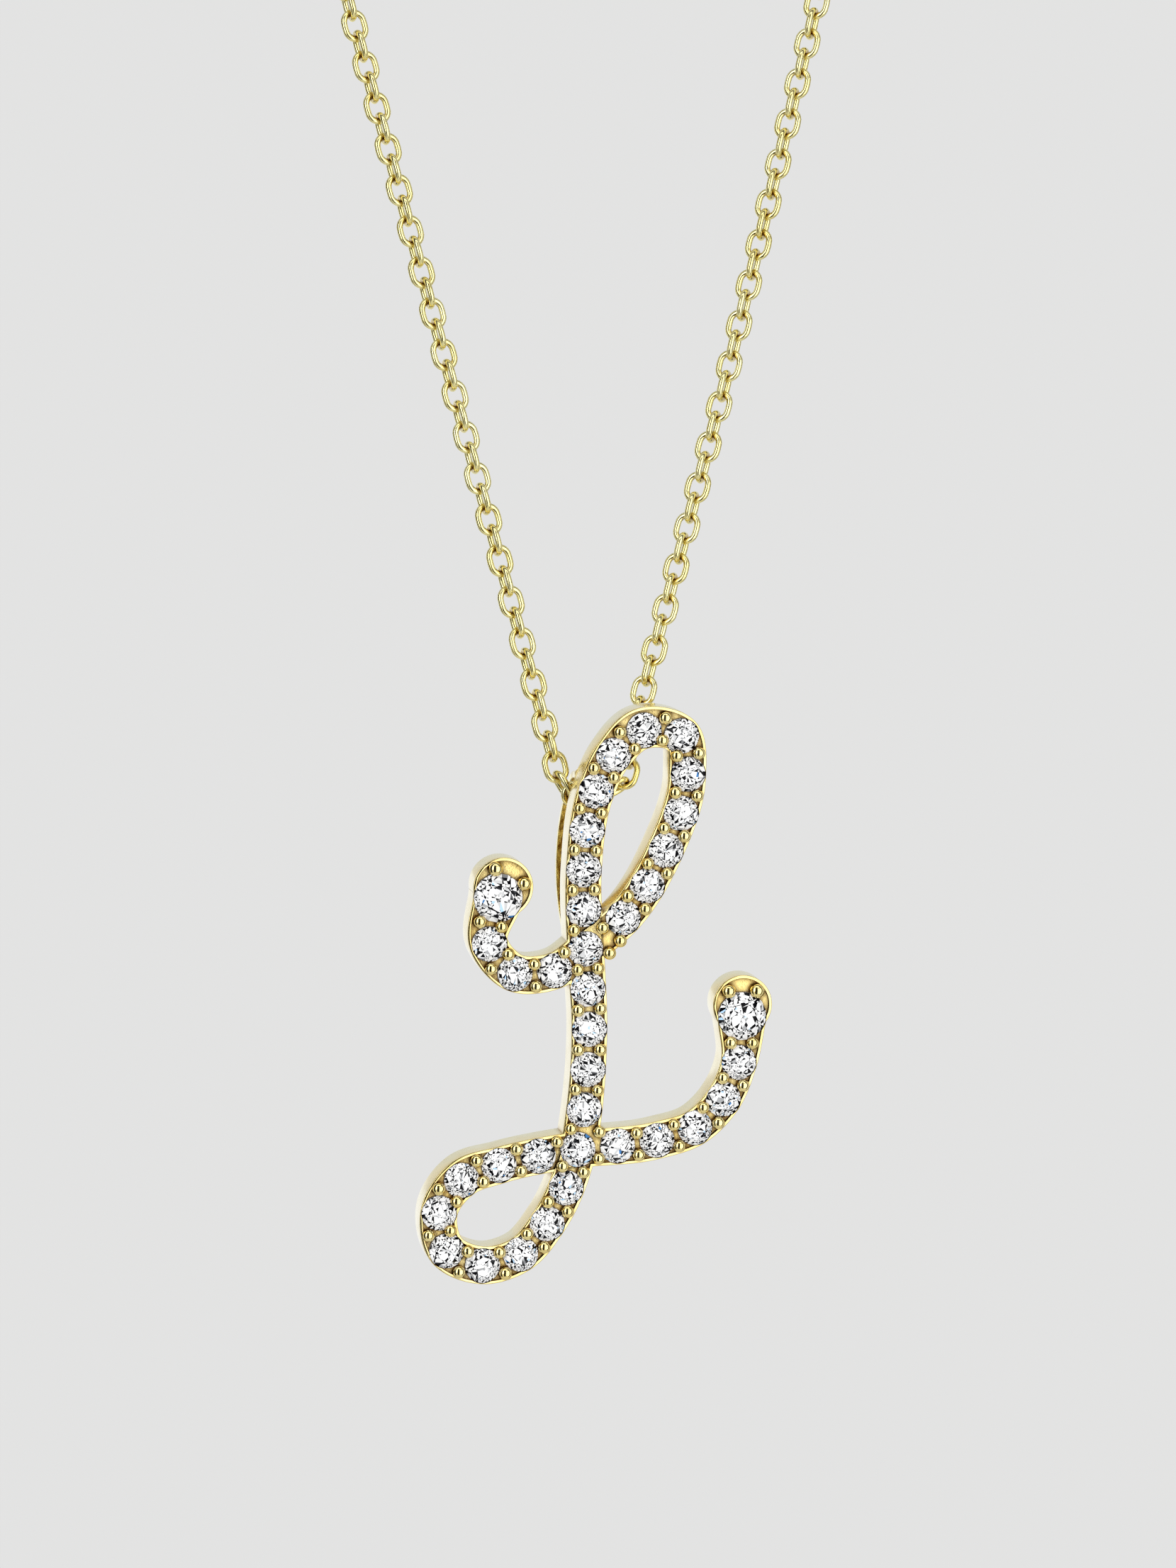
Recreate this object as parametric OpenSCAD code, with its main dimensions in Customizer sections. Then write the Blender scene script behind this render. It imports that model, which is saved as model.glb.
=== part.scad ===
// A script letter pendant set with round stones, hung by a hidden bail on a fine cable chain.
// Millimetres. +Z is up, the front faces -Y, and the origin is at the nape, in the middle of the clasp.

/* [Letter] */
// Width of the stroke between its outermost stone centres
stroke_w = 11.05; // [9:0.05:14]
// Height of the stroke between its lowest and highest stone centres
stroke_h = 19.7; // [16:0.1:25]
// How far the band reaches past a small stone on each side
band_margin = 0.04; // [0.03:0.01:0.2]
// Thickness of the band, from its back to the top of its rim
band_t = 1.05; // [1:0.05:1.6]
// Height of the thin rim above the floor between the stones
rim_h = 0.1; // [0.06:0.01:0.2]
// Width of the rim
rim_w = 0.1; // [0.06:0.01:0.2]
// Diameter of the round plate at each end of the stroke
plate_d = 2.2; // [2.1:0.02:2.6]

/* [Stones] */
// Diameter of a small stone
stone_d = 1.3; // [1:0.05:1.6]
// Diameter of the two end stones
end_stone_d = 1.8; // [1.5:0.05:2]
// Least gap between neighbouring small stones
stone_gap = 0.1; // [0.06:0.01:0.3]
// Extra length of stroke between the upper crossing and the first stone of the rising arm
fork_gap = 0.33; // [0.1:0.01:0.6]
// Length by which the hook's last gap before the upper crossing is shorter than its others
hook_less = 0.12; // [0:0.01:0.2]
// Clearance between a stone and the metal that seats it
seat_gap = 0.03; // [0.01:0.01:0.05]
// Diameter of the light hole behind a small stone
light_hole_d = 0.7; // [0.4:0.05:0.9]

/* [Beads] */
// Diameter of a bead that holds the stones
bead_d = 0.45; // [0.35:0.01:0.55]
// Height of a bead's middle above the floor
bead_rise = 0.12; // [0.08:0.01:0.2]
// Diameter of a bead that holds an end stone from its plate
cap_bead_d = 0.52; // [0.4:0.01:0.6]
// How far a bead runs into the rim beside it
bead_tuck = 0.03; // [0.02:0.01:0.06]

/* [Bail] */
// Thickness of the bail's strap
bail_t = 0.25; // [0.2:0.01:0.4]
// Width of the strap at its middle
bail_w = 1.1; // [0.8:0.05:1.4]
// Width of the strap at its two ends
bail_tip_w = 0.36; // [0.3:0.02:0.8]
// Distance from the stem's back to the farthest point of the strap
bail_bow = 2.2; // [1.8:0.05:3]
// Height of the strap below the chain
bail_drop = 6.1; // [4.5:0.1:7]

/* [Chain] */
// Width of the chain's loop round the neck
loop_w = 106; // [90:1:130]
// Distance from the nape forward to the pendant
loop_depth = 102; // [85:1:125]
// Distance from the nape down to the bail
loop_drop = 127; // [100:1:220]
// Width of the chain, across its links
chain_w = 0.9; // [0.8:0.05:1.2]
// Gap between the chain and the back of the stem
chain_back_gap = 0.15; // [0.1:0.01:0.3]
// Clearance between the chain and the strap of the bail round it
chain_gap = 0.15; // [0.08:0.01:0.2]

/* [Clasp] */
// Outer diameter of the clasp's ring
clasp_d = 5; // [4:0.1:7]
// Thickness of the clasp's ring
clasp_wire = 1.1; // [0.9:0.05:1.4]
// Outer diameter of the small eye on each side of the clasp
eye_d = 1.8; // [1.6:0.05:2.4]
// Thickness of the eye's wire
eye_wire = 0.5; // [0.4:0.05:0.6]
// Gap between the clasp and each end of the chain
clasp_gap = 0.15; // [0.1:0.01:0.3]

/* [Hidden] */
GOLD = [0.93, 0.8, 0.4];
STONE = [0.93, 0.95, 0.97];
$fn = 48;

// Stroke of the letter in the order it is written, as shares of stroke_w and stroke_h, from the
// lower left, then the reach of the band to the left and to the right of the way it is written,
// as shares of half a band. Columns: across, up, left reach, right reach.
CROSS_TOP = [0.466, 0.594, 1, 1];
CROSS_LOW = [0.459, 0.217, 1, 1];
HOOK = [
    [0.17, 0.69, 1.35, 1.35], [0.144, 0.605, 1, 1.07], [0.23, 0.549, 1.05, 0.98],
    [0.366, 0.554, 1, 1]
];
UPPER_LOOP = [
    [0.59, 0.652, 1, 1], [0.725, 0.776, 1.06, 0.97], [0.793, 0.916, 1.06, 0.97],
    [0.767, 0.991, 1, 1.05], [0.634, 1, 1, 1.22], [0.54, 0.952, 1, 1.08],
    [0.485, 0.885, 1, 1], [0.453, 0.742, 0.96, 0.96]
];
STEM = [[0.486, 0.445, 0.96, 0.96], [0.476, 0.291, 0.98, 0.98]];
LOWER_LOOP = [
    [0.364, 0.079, 1, 1], [0.279, 0.022, 1, 1], [0.152, 0, 1, 1.04], [0.027, 0.029, 1, 1.04],
    [0, 0.106, 1, 1], [0.077, 0.164, 1.12, 1], [0.202, 0.19, 1, 1]
];
SWASH = [
    [0.725, 0.233, 1.02, 1.02], [0.855, 0.257, 1, 1], [0.945, 0.309, 1, 1],
    [0.994, 0.379, 1, 1], [1, 0.466, 1.35, 1.35]
];
STROKE = concat(HOOK, [CROSS_TOP], UPPER_LOOP, [CROSS_TOP], STEM, [CROSS_LOW],
    LOWER_LOOP, [CROSS_LOW], SWASH);
STROKE_STEPS = 6; // curve steps between two rows of the stroke

// Beads of the gaps next to a crossing. Columns: place as a share of the gap, reach to the right
// of the way it is written as a share of a usual bead's reach, negative to the left.
PAIR = [[0.5, -1], [0.5, 1]];
LEFT_BEAD = [[0.5, -1]];
RIGHT_BEAD = [[0.5, 1]];
FORK_BEADS = [[0.34, 1.6], [0.65, 1.33]];
CORNER_BEADS = [[0.5, -1.6], [0.5, 1]];

// Stretches between crossings. Columns: first row of STROKE, last row, extra length of its first
// gap, extra length of its last gap, beads of its first gap, beads of its last gap.
end_extra = (end_stone_d - stone_d) / 2;
hook_end = len(HOOK);
loop_end = hook_end + len(UPPER_LOOP) + 1;
stem_end = loop_end + len(STEM) + 1;
bow_end = stem_end + len(LOWER_LOOP) + 1;
swash_end = bow_end + len(SWASH);
STRETCHES = [
    [0, hook_end, end_extra, -hook_less, PAIR, PAIR],
    [hook_end, loop_end, fork_gap, 0, FORK_BEADS, CORNER_BEADS],
    [loop_end, stem_end, 0, 0, LEFT_BEAD, CORNER_BEADS],
    [stem_end, bow_end, 0, 0, PAIR, LEFT_BEAD],
    [bow_end, swash_end, 0, end_extra, RIGHT_BEAD, PAIR]
];

// End plates. Columns: row of STROKE, how far the plate's middle lies to the right of the
// stone's and above it as shares of plate_d, directions of the two cap beads.
PLATES = [[0, 0.08, 0.17, 29, 97], [swash_end, 0, 0.19, 61, 120]];

// Cut of a stone, as shares of its diameter
TABLE = 0.57;
CROWN_H = 0.15;
GIRDLE_H = 0.03;
PAVILION_H = 0.43;
STAR_R = 0.3825; // radius of the star facets' outer points
LOWER_R = 0.11; // radius of the lower facets' inner points
STONE_TURN = 37; // each stone is turned this much more than the one before it

stone_r = stone_d / 2;
band_half = stone_r + band_margin;
floor_z = band_t - rim_h;
girdle_z = floor_z + seat_gap;
bead_side = band_half - rim_w - bead_d / 2 + bead_tuck;
light_hole_share = light_hole_d / stone_d;
seat_share = 0.96; // radius of the seat's mouth as a share of the stone's

// The hinge is the chain's middle line inside the bail, behind the stem.
hinge_drop = chain_w / 2 + chain_back_gap;
hinge_across = 0.46; // share of stroke_w
hinge_up = 0.871; // share of stroke_h
bail_head_r = chain_w / 2 + chain_gap + bail_t / 2; // the strap's middle line round the chain

// Strap of the bail from the side, in three parts from the top: out of the stem's back, round
// the chain, and down to the stem's back again. Columns: how far behind the stem's back, how
// far below the hinge. The first part is in shares of bail_head_r, the last in shares of
// bail_bow and bail_drop.
BAIL_TOP = [[-0.12, -1.3], [0.22, -1.18]];
BAIL_ARC = [85, 110, 130]; // degrees from straight ahead
BAIL_ROUTE = [
    [0.66, -0.02], [0.81, 0.1], [0.94, 0.25], [0.99, 0.38], [1, 0.5], [0.93, 0.66],
    [0.73, 0.81], [0.39, 0.93], [-0.04, 1]
];
BAIL_STEPS = 3;

// Where the hinge lies, and how the free pendant hangs: its weight lies in front of the chain,
// so its foot swings back until the weight is under the hinge.
HINGE_ACROSS = -0.59; // share of chain_w
hinge_pos = [HINGE_ACROSS * chain_w, -loop_depth, -loop_drop];
WEIGHT_FORWARD = 0.53; // height of the pendant's weight above its back, as a share of band_t

// Middle line of the chain at the bail, left to right. Columns: across from the loop's middle,
// up from the hinge, both in shares of chain_w, curve steps to the next point.
CHAIN_LOOP = [
    [-2.22, 3.67, 1], [-1.73, 1.67, 2], [-1.58, 0.89, 2], [-1.31, 0.24, 2], [-0.72, 0, 1],
    [0, 0, 1], [0.69, 0.09, 2], [1.27, 0.47, 2], [1.51, 1.06, 1], [1.67, 1.61, 1],
    [2.22, 3.67, 1]
];
// Middle line of the chain's hidden run from there to the nape, on the right. The left run
// mirrors it. Columns: across as a share of half of loop_w, forward as a share of loop_depth,
// down as a share of loop_drop, curve steps to the next point.
CHAIN_RUN = [
    [0.096, 0.99, 0.882, 1], [0.17, 0.979, 0.764, 4], [0.35, 0.94, 0.58, 4],
    [0.57, 0.86, 0.4, 4], [0.77, 0.745, 0.25, 4], [0.925, 0.6, 0.145, 4], [1, 0.43, 0.08, 4],
    [0.94, 0.265, 0.035, 4], [0.735, 0.12, 0.01, 4], [0.415, 0.03, 0, 4]
];
CHAIN_LEAN = 0.07; // how far back the chain goes for its rise at the bail
NECK_AT = 0.5; // the neck's middle line, share of loop_depth
CHAIN_SIDES = 8;

CAP_LEAN = 0.1; // how far a cap bead leans over the end stone's edge

// Curves
function span(a, b, axes) = norm([for (k = [0:axes - 1]) b[k] - a[k]]);
function heading(p, i, axes) =
    i == 0 ? (p[1] - p[0]) / span(p[0], p[1], axes) :
    i == len(p) - 1 ? (p[i] - p[i - 1]) / span(p[i - 1], p[i], axes) :
    let (before = span(p[i - 1], p[i], axes), after = span(p[i], p[i + 1], axes))
    ((p[i] - p[i - 1]) * after / before + (p[i + 1] - p[i]) * before / after) / (before + after);
function on_curve(p, i, t, axes) =
    let (d = span(p[i], p[i + 1], axes), t2 = t * t, t3 = t2 * t)
    (2 * t3 - 3 * t2 + 1) * p[i] + (t3 - 2 * t2 + t) * d * heading(p, i, axes) +
    (3 * t2 - 2 * t3) * p[i + 1] + (t3 - t2) * d * heading(p, i + 1, axes);
function curve(p, steps, axes) = concat(
    [for (i = [0:len(p) - 2]) for (k = [0:steps - 1]) on_curve(p, i, k / steps, axes)],
    [p[len(p) - 1]]);
function unit(v) = v / norm(v);
function way(p, i) = unit(p[min(i + 1, len(p) - 1)] - p[max(i - 1, 0)]);
function left_of(v) = [-v[1], v[0]];

// The stroke as points on its middle line, with the band's reach on each side
line = curve([for (r = STROKE) [r[0] * stroke_w, r[1] * stroke_h, r[2], r[3]]], STROKE_STEPS, 2);
line_xy = [for (p = line) [p[0], p[1]]];
line_way = [for (i = [0:len(line) - 1]) way(line_xy, i)];
run = [for (i = 0, s = 0; i < len(line);
    s = s + (i + 1 < len(line) ? norm(line_xy[i + 1] - line_xy[i]) : 0), i = i + 1) s];

// Place and direction on the stroke at a length from its start: across, up, direction
function piece_at(s) = max([0, for (i = [0:len(run) - 2]) if (run[i] <= s) i]);
function stroke_at(s) =
    let (i = piece_at(s), t = (s - run[i]) / (run[i + 1] - run[i]),
        p = line_xy[i] + t * (line_xy[i + 1] - line_xy[i]),
        w = unit(line_way[i] + t * (line_way[i + 1] - line_way[i])))
    [p[0], p[1], w[0], w[1]];

// Small stones along one stretch: lengths from the stroke's start, its two ends included
function stretch_stops(r) =
    let (start = run[r[0] * STROKE_STEPS], end = run[r[1] * STROKE_STEPS],
        free = end - start - r[2] - r[3], gaps = floor(free / (stone_d + stone_gap)))
    concat([start], [for (k = [1:gaps - 1]) start + r[2] + free * k / gaps], [end]);
STOPS = [for (r = STRETCHES) stretch_stops(r)];
inner_stops = [for (s = STOPS) for (k = [1:len(s) - 2]) s[k]];
small_stones = concat([for (s = inner_stops) stroke_at(s)],
    [for (row = [hook_end, stem_end]) stroke_at(run[row * STROKE_STEPS])]);
end_stones = [for (p = PLATES) line_xy[p[0] * STROKE_STEPS]];

// Beads: a usual gap has a pair in its middle
function gap_beads(r, stops, k) =
    k == 0 ? r[4] : k == len(stops) - 2 ? r[5] : PAIR;
function bead_shift(r, stops, k) =
    r[0] == 0 && k == 0 ? end_extra / 2 :
    r[1] == swash_end && k == len(stops) - 2 ? -end_extra / 2 : 0;
row_beads = [
    for (j = [0:len(STRETCHES) - 1])
    let (r = STRETCHES[j], stops = STOPS[j])
    for (k = [0:len(stops) - 2])
    for (b = gap_beads(r, stops, k))
    let (s = stops[k] + b[0] * (stops[k + 1] - stops[k]) + bead_shift(r, stops, k),
        p = stroke_at(s), side = left_of([p[2], p[3]]))
    [p[0], p[1]] - b[1] * bead_side * side
];
cap_r = end_stone_d / 2 + cap_bead_d / 2 - CAP_LEAN;
cap_beads = [
    for (k = [0:len(PLATES) - 1]) for (a = [PLATES[k][3], PLATES[k][4]])
    end_stones[k] + cap_r * [cos(a), sin(a)]
];

// How the pendant hangs
hinge = [hinge_across * stroke_w, hinge_up * stroke_h, -hinge_drop];
weight_up = [for (p = line_xy) 1] * [for (p = line_xy) p[1]] / len(line_xy);
hang_tilt = atan((WEIGHT_FORWARD * band_t + hinge_drop) / (hinge[1] - weight_up));

// The chain's middle line, from the clasp's left eye down to the bail and up to its right eye
chain_end = clasp_d / 2 + eye_d - eye_wire + clasp_gap;
chain_bend = [for (p = CHAIN_LOOP) [p[0] * chain_w, hinge_pos[1] + CHAIN_LEAN * p[1] * chain_w,
    hinge_pos[2] + p[1] * chain_w, p[2]]];
chain_right = [for (p = CHAIN_RUN) [p[0] * loop_w / 2, -p[1] * loop_depth, -p[2] * loop_drop, p[3]]];
chain_left = [for (i = [len(chain_right) - 1:-1:0]) let (p = chain_right[i])
    [-p[0], p[1], p[2], chain_right[max(i - 1, 0)][3]]];
chain_marks = concat([[-chain_end, 0, 0, 3]], chain_left, chain_bend, chain_right,
    [[chain_end, 0, 0, 0]]);
marks_xyz = [for (p = chain_marks) [p[0], p[1], p[2]]];
chain_line = concat([for (i = [0:len(marks_xyz) - 2]) for (k = [0:chain_marks[i][3] - 1])
    on_curve(marks_xyz, i, k / chain_marks[i][3], 3)], [marks_xyz[len(marks_xyz) - 1]]);

small_count = len(small_stones);
function two_digits(n) = str(n < 10 ? "0" : "", n);
function stone_name(i) = str("stone_", two_digits(i + 1));

// Puts what is drawn flat on the letter's back, face up, at its hanging place
module hung() {
    translate(hinge_pos) rotate([90 + hang_tilt, 0, 0]) translate(-hinge) children();
}

// One half stretch of the band, drawn back from its edges
module band(first, last, inset) {
    edge = [for (i = [first:last]) let (side = left_of(line_way[i]))
        [line_xy[i] + side * (line[i][2] * band_half - inset),
        line_xy[i] - side * (line[i][3] * band_half - inset)]];
    polygon(concat([for (e = edge) e[0]], [for (i = [len(edge) - 1:-1:0]) edge[i][1]]));
}

// Outline of the whole letter, drawn back from its edges
module outline(inset) {
    for (r = STRETCHES) {
        middle = floor((r[0] + r[1]) / 2) * STROKE_STEPS;
        band(r[0] * STROKE_STEPS, middle, inset);
        band(middle, r[1] * STROKE_STEPS, inset);
    }
    for (k = [0:len(PLATES) - 1])
        translate(end_stones[k] + plate_d * [PLATES[k][1], PLATES[k][2]])
            circle(d = plate_d - 2 * inset);
}

// Space that a stone and its light hole take out of the metal
module seat_cut(d) {
    r = d / 2;
    mouth = seat_share * r;
    hole = light_hole_share * r;
    crown = CROWN_H * d;
    girdle = GIRDLE_H * d;
    slope = PAVILION_H * d / r;
    clear_r = r + seat_gap;
    brow_r = band_half * r / stone_r + seat_gap;
    table_r = TABLE * r + seat_gap;
    top_z = girdle_z + girdle + crown + seat_gap;
    rim_r = clear_r - (band_t - girdle_z - girdle) * (clear_r - table_r) / (crown + seat_gap);
    rotate_extrude() polygon([
        [0, -band_t], [hole, -band_t], [hole, floor_z - (mouth - hole) * slope], [mouth, floor_z],
        [brow_r, floor_z], [brow_r, band_t], [rim_r, band_t], [table_r, top_z], [0, top_z]
    ]);
}

// Strap of the bail, soldered to the stem's back at both ends, narrower there than in its middle
module bail() {
    top = [for (r = BAIL_TOP) [-r[0] * bail_head_r, -r[1] * bail_head_r]];
    arc = [for (a = BAIL_ARC) [-hinge_drop, 0] + bail_head_r * [cos(a), sin(a)]];
    bow = [for (r = BAIL_ROUTE) [-r[0] * bail_bow, -r[1] * bail_drop]];
    middle = curve(concat(top, arc, bow), BAIL_STEPS, 2);
    sides = [for (i = [0:len(middle) - 1]) left_of(way(middle, i)) * bail_t / 2];
    last = len(middle) - 1;
    reach = (bow[len(bow) - 1][1] - top[0][1] - bail_t) / 2;
    bulge = (bail_w - bail_tip_w) / 2;
    leaf_r = (reach * reach + bulge * bulge) / (2 * bulge);
    translate([hinge[0], hinge[1], 0]) intersection() {
        rotate([0, -90, 0]) linear_extrude(bail_w, center = true) polygon(concat(
            [for (i = [0:last]) middle[i] + sides[i]],
            [for (i = [last:-1:0]) middle[i] - sides[i]]));
        translate([0, top[0][1] + bail_t / 2 + reach, -bail_bow - bail_t])
            linear_extrude(bail_bow + 2 * bail_t) intersection() {
                translate([leaf_r - bail_w / 2, 0]) circle(leaf_r, $fn = 180);
                translate([bail_w / 2 - leaf_r, 0]) circle(leaf_r, $fn = 180);
            }
    }
}

// Cast letter with its seats and beads, and the bail soldered behind its stem
module letter_frame() {
    color(GOLD) hung() {
        difference() {
            union() {
                difference() {
                    linear_extrude(band_t) outline(0);
                    translate([0, 0, floor_z]) linear_extrude(band_t) outline(rim_w);
                }
                for (b = row_beads) translate([b[0], b[1], floor_z + bead_rise]) sphere(d = bead_d);
                for (b = cap_beads)
                    translate([b[0], b[1], floor_z + bead_rise]) sphere(d = cap_bead_d);
            }
            for (s = small_stones) translate([s[0], s[1], 0]) seat_cut(stone_d);
            for (s = end_stones) translate([s[0], s[1], 0]) seat_cut(end_stone_d);
        }
        bail();
    }
}

// Round brilliant, table up, its girdle's lower edge at height 0
module brilliant(d) {
    r = d / 2;
    crown = CROWN_H * d;
    girdle = GIRDLE_H * d;
    pavilion = PAVILION_H * d;
    half = cos(22.5);
    star_z = girdle + crown * (1 - 2 * STAR_R * half) / (1 - TABLE);
    lower_z = -pavilion * (1 - 2 * LOWER_R * half);
    points = concat(
        [for (k = [0:7]) [TABLE * r * cos(45 * k), TABLE * r * sin(45 * k), girdle + crown]],
        [for (k = [0:7]) let (a = 45 * k + 22.5) [STAR_R * d * cos(a), STAR_R * d * sin(a), star_z]],
        [for (k = [0:15]) [r * cos(22.5 * k), r * sin(22.5 * k), girdle]],
        [for (k = [0:15]) [r * cos(22.5 * k), r * sin(22.5 * k), 0]],
        [for (k = [0:7]) let (a = 45 * k + 22.5) [LOWER_R * d * cos(a), LOWER_R * d * sin(a), lower_z]],
        [[0, 0, -pavilion]]);
    star = 8;
    upper = 16;
    lower = 32;
    inner = 48;
    culet = 56;
    faces = concat(
        [[for (k = [7:-1:0]) k]],
        [for (k = [0:7]) [k, (k + 1) % 8, star + k]],
        [for (k = [0:7]) [k, star + k, upper + 2 * k, star + (k + 7) % 8]],
        [for (k = [0:7]) [star + k, upper + 2 * k + 1, upper + 2 * k]],
        [for (k = [0:7]) [star + k, upper + (2 * k + 2) % 16, upper + 2 * k + 1]],
        [for (k = [0:15]) let (n = (k + 1) % 16) [upper + k, upper + n, lower + n, lower + k]],
        [for (k = [0:7]) [inner + k, lower + 2 * k, lower + 2 * k + 1]],
        [for (k = [0:7]) [inner + k, lower + 2 * k + 1, lower + (2 * k + 2) % 16]],
        [for (k = [0:7]) [culet, inner + (k + 7) % 8, lower + 2 * k, inner + k]]);
    polyhedron(points, faces);
}

// A stone in its seat
module seated(place, d, turn) {
    color(STONE) hung() translate([place[0], place[1], girdle_z]) rotate([0, 0, turn]) brilliant(d);
}

// The chain as one sweep of the width of its links
module chain() {
    rings = [for (i = [0:len(chain_line) - 1])
        let (p = chain_line[i], along = way(chain_line, i),
            out = [p[0], p[1] + NECK_AT * loop_depth, 0], a = unit(cross(along, out)), b = cross(along, a))
        [for (k = [0:CHAIN_SIDES - 1]) let (t = 360 * k / CHAIN_SIDES)
            p + chain_w / 2 * (cos(t) * a + sin(t) * b)]];
    last = (len(rings) - 1) * CHAIN_SIDES;
    color(GOLD) polyhedron([for (ring = rings) each ring], concat(
        [[for (k = [0:CHAIN_SIDES - 1]) k]],
        [for (i = [0:len(rings) - 2]) for (k = [0:CHAIN_SIDES - 1])
            let (a = i * CHAIN_SIDES, n = (k + 1) % CHAIN_SIDES)
            [a + k, a + CHAIN_SIDES + k, a + CHAIN_SIDES + n, a + n]],
        [[for (k = [CHAIN_SIDES - 1:-1:0]) last + k]]));
}

// Plain ring clasp at the nape, with a small eye on each side for the end of the chain
module clasp() {
    color(GOLD) rotate([90, 0, 0]) {
        rotate_extrude() translate([(clasp_d - clasp_wire) / 2, 0]) circle(d = clasp_wire);
        for (side = [-1, 1]) translate([side * ((clasp_d + eye_d) / 2 - eye_wire), 0, 0])
            rotate_extrude() translate([(eye_d - eye_wire) / 2, 0]) circle(d = eye_wire);
    }
}

letter_frame();
chain();
clasp();
seated(end_stones[0], end_stone_d, 0);  // end_stone_left
seated(end_stones[1], end_stone_d, STONE_TURN);  // end_stone_right
for (i = [0:small_count - 1])
    seated(small_stones[i], stone_d, i * STONE_TURN);
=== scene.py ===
"""Looks of the initial pendant: pave letter, hidden bail, cable chain and ring clasp.

Pieces are modelled in millimetres, the pendant's own flat on its back with its face up, and then
laid in the shared frame, in metres.
"""

import logging
import math
import random
from contextlib import contextmanager
from dataclasses import dataclass, field
from enum import Enum
from typing import Any, Callable, Iterator, Mapping, Sequence, Union

import bmesh
import bpy
from mathutils import Matrix, Vector


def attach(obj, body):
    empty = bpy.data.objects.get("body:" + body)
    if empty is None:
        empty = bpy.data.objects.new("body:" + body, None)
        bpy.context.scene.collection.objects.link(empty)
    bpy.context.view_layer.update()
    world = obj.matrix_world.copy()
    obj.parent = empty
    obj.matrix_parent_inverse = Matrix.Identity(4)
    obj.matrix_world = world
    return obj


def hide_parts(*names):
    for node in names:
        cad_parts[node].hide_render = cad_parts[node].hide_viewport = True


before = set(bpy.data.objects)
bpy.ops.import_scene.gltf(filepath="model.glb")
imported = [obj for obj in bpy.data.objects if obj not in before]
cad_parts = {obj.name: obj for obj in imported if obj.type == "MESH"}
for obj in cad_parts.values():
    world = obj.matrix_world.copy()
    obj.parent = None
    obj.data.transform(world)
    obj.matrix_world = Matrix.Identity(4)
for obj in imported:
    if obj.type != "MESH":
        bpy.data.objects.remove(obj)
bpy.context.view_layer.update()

LOG = logging.getLogger("pendant")
MM = 0.001
FULL_TURN = 2 * math.pi
HAIR = 1e-4  # closer than this, in millimetres, is the same place

Colour = tuple[float, float, float, float]
Flat = tuple[float, float]
Table = tuple[tuple[float, ...], ...]

# Stroke of the letter in the order it is written, as in the CAD source. Columns: across and up as
# shares of its width and height, left reach and right reach as shares of half a band.
CROSS_TOP = (0.466, 0.594, 1, 1)
CROSS_LOW = (0.459, 0.217, 1, 1)
HOOK: Table = (
    (0.17, 0.69, 1.35, 1.35),
    (0.144, 0.605, 1, 1.07),
    (0.23, 0.549, 1.05, 0.98),
    (0.366, 0.554, 1, 1),
)
UPPER_LOOP: Table = (
    (0.59, 0.652, 1, 1),
    (0.725, 0.776, 1.06, 0.97),
    (0.793, 0.916, 1.06, 0.97),
    (0.767, 0.991, 1, 1.05),
    (0.634, 1, 1, 1.22),
    (0.54, 0.952, 1, 1.08),
    (0.485, 0.885, 1, 1),
    (0.453, 0.742, 0.96, 0.96),
)
STEM: Table = ((0.486, 0.445, 0.96, 0.96), (0.476, 0.291, 0.98, 0.98))
LOWER_LOOP: Table = (
    (0.364, 0.079, 1, 1),
    (0.279, 0.022, 1, 1),
    (0.152, 0, 1, 1.04),
    (0.027, 0.029, 1, 1.04),
    (0, 0.106, 1, 1),
    (0.077, 0.164, 1.12, 1),
    (0.202, 0.19, 1, 1),
)
SWASH: Table = (
    (0.725, 0.233, 1.02, 1.02),
    (0.855, 0.257, 1, 1),
    (0.945, 0.309, 1, 1),
    (0.994, 0.379, 1, 1),
    (1, 0.466, 1.35, 1.35),
)
ROWS: Table = (
    *HOOK,
    CROSS_TOP,
    *UPPER_LOOP,
    CROSS_TOP,
    *STEM,
    CROSS_LOW,
    *LOWER_LOOP,
    CROSS_LOW,
    *SWASH,
)

# Beads of a gap. Columns: place as a share of the gap, reach to the right of the way it is
# written as a share of a usual bead's reach, negative to the left.
PAIR: Table = ((0.5, -1), (0.5, 1))
LEFT_BEAD: Table = ((0.5, -1),)
RIGHT_BEAD: Table = ((0.5, 1),)
FORK_BEADS: Table = ((0.34, 1.6), (0.65, 1.33))
CORNER_BEADS: Table = ((0.5, -1.6), (0.5, 1))


class Body(Enum):
    """The bodies that pieces ride on."""

    NECKLACE = "necklace"
    PENDANT = "pendant"


class Slot(Enum):
    """The record's material slots."""

    GOLD = "gold"
    STONE = "stone"


class Cut(Enum):
    """Ways of putting one solid to another."""

    ADD = "UNION"
    TAKE = "DIFFERENCE"


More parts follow.
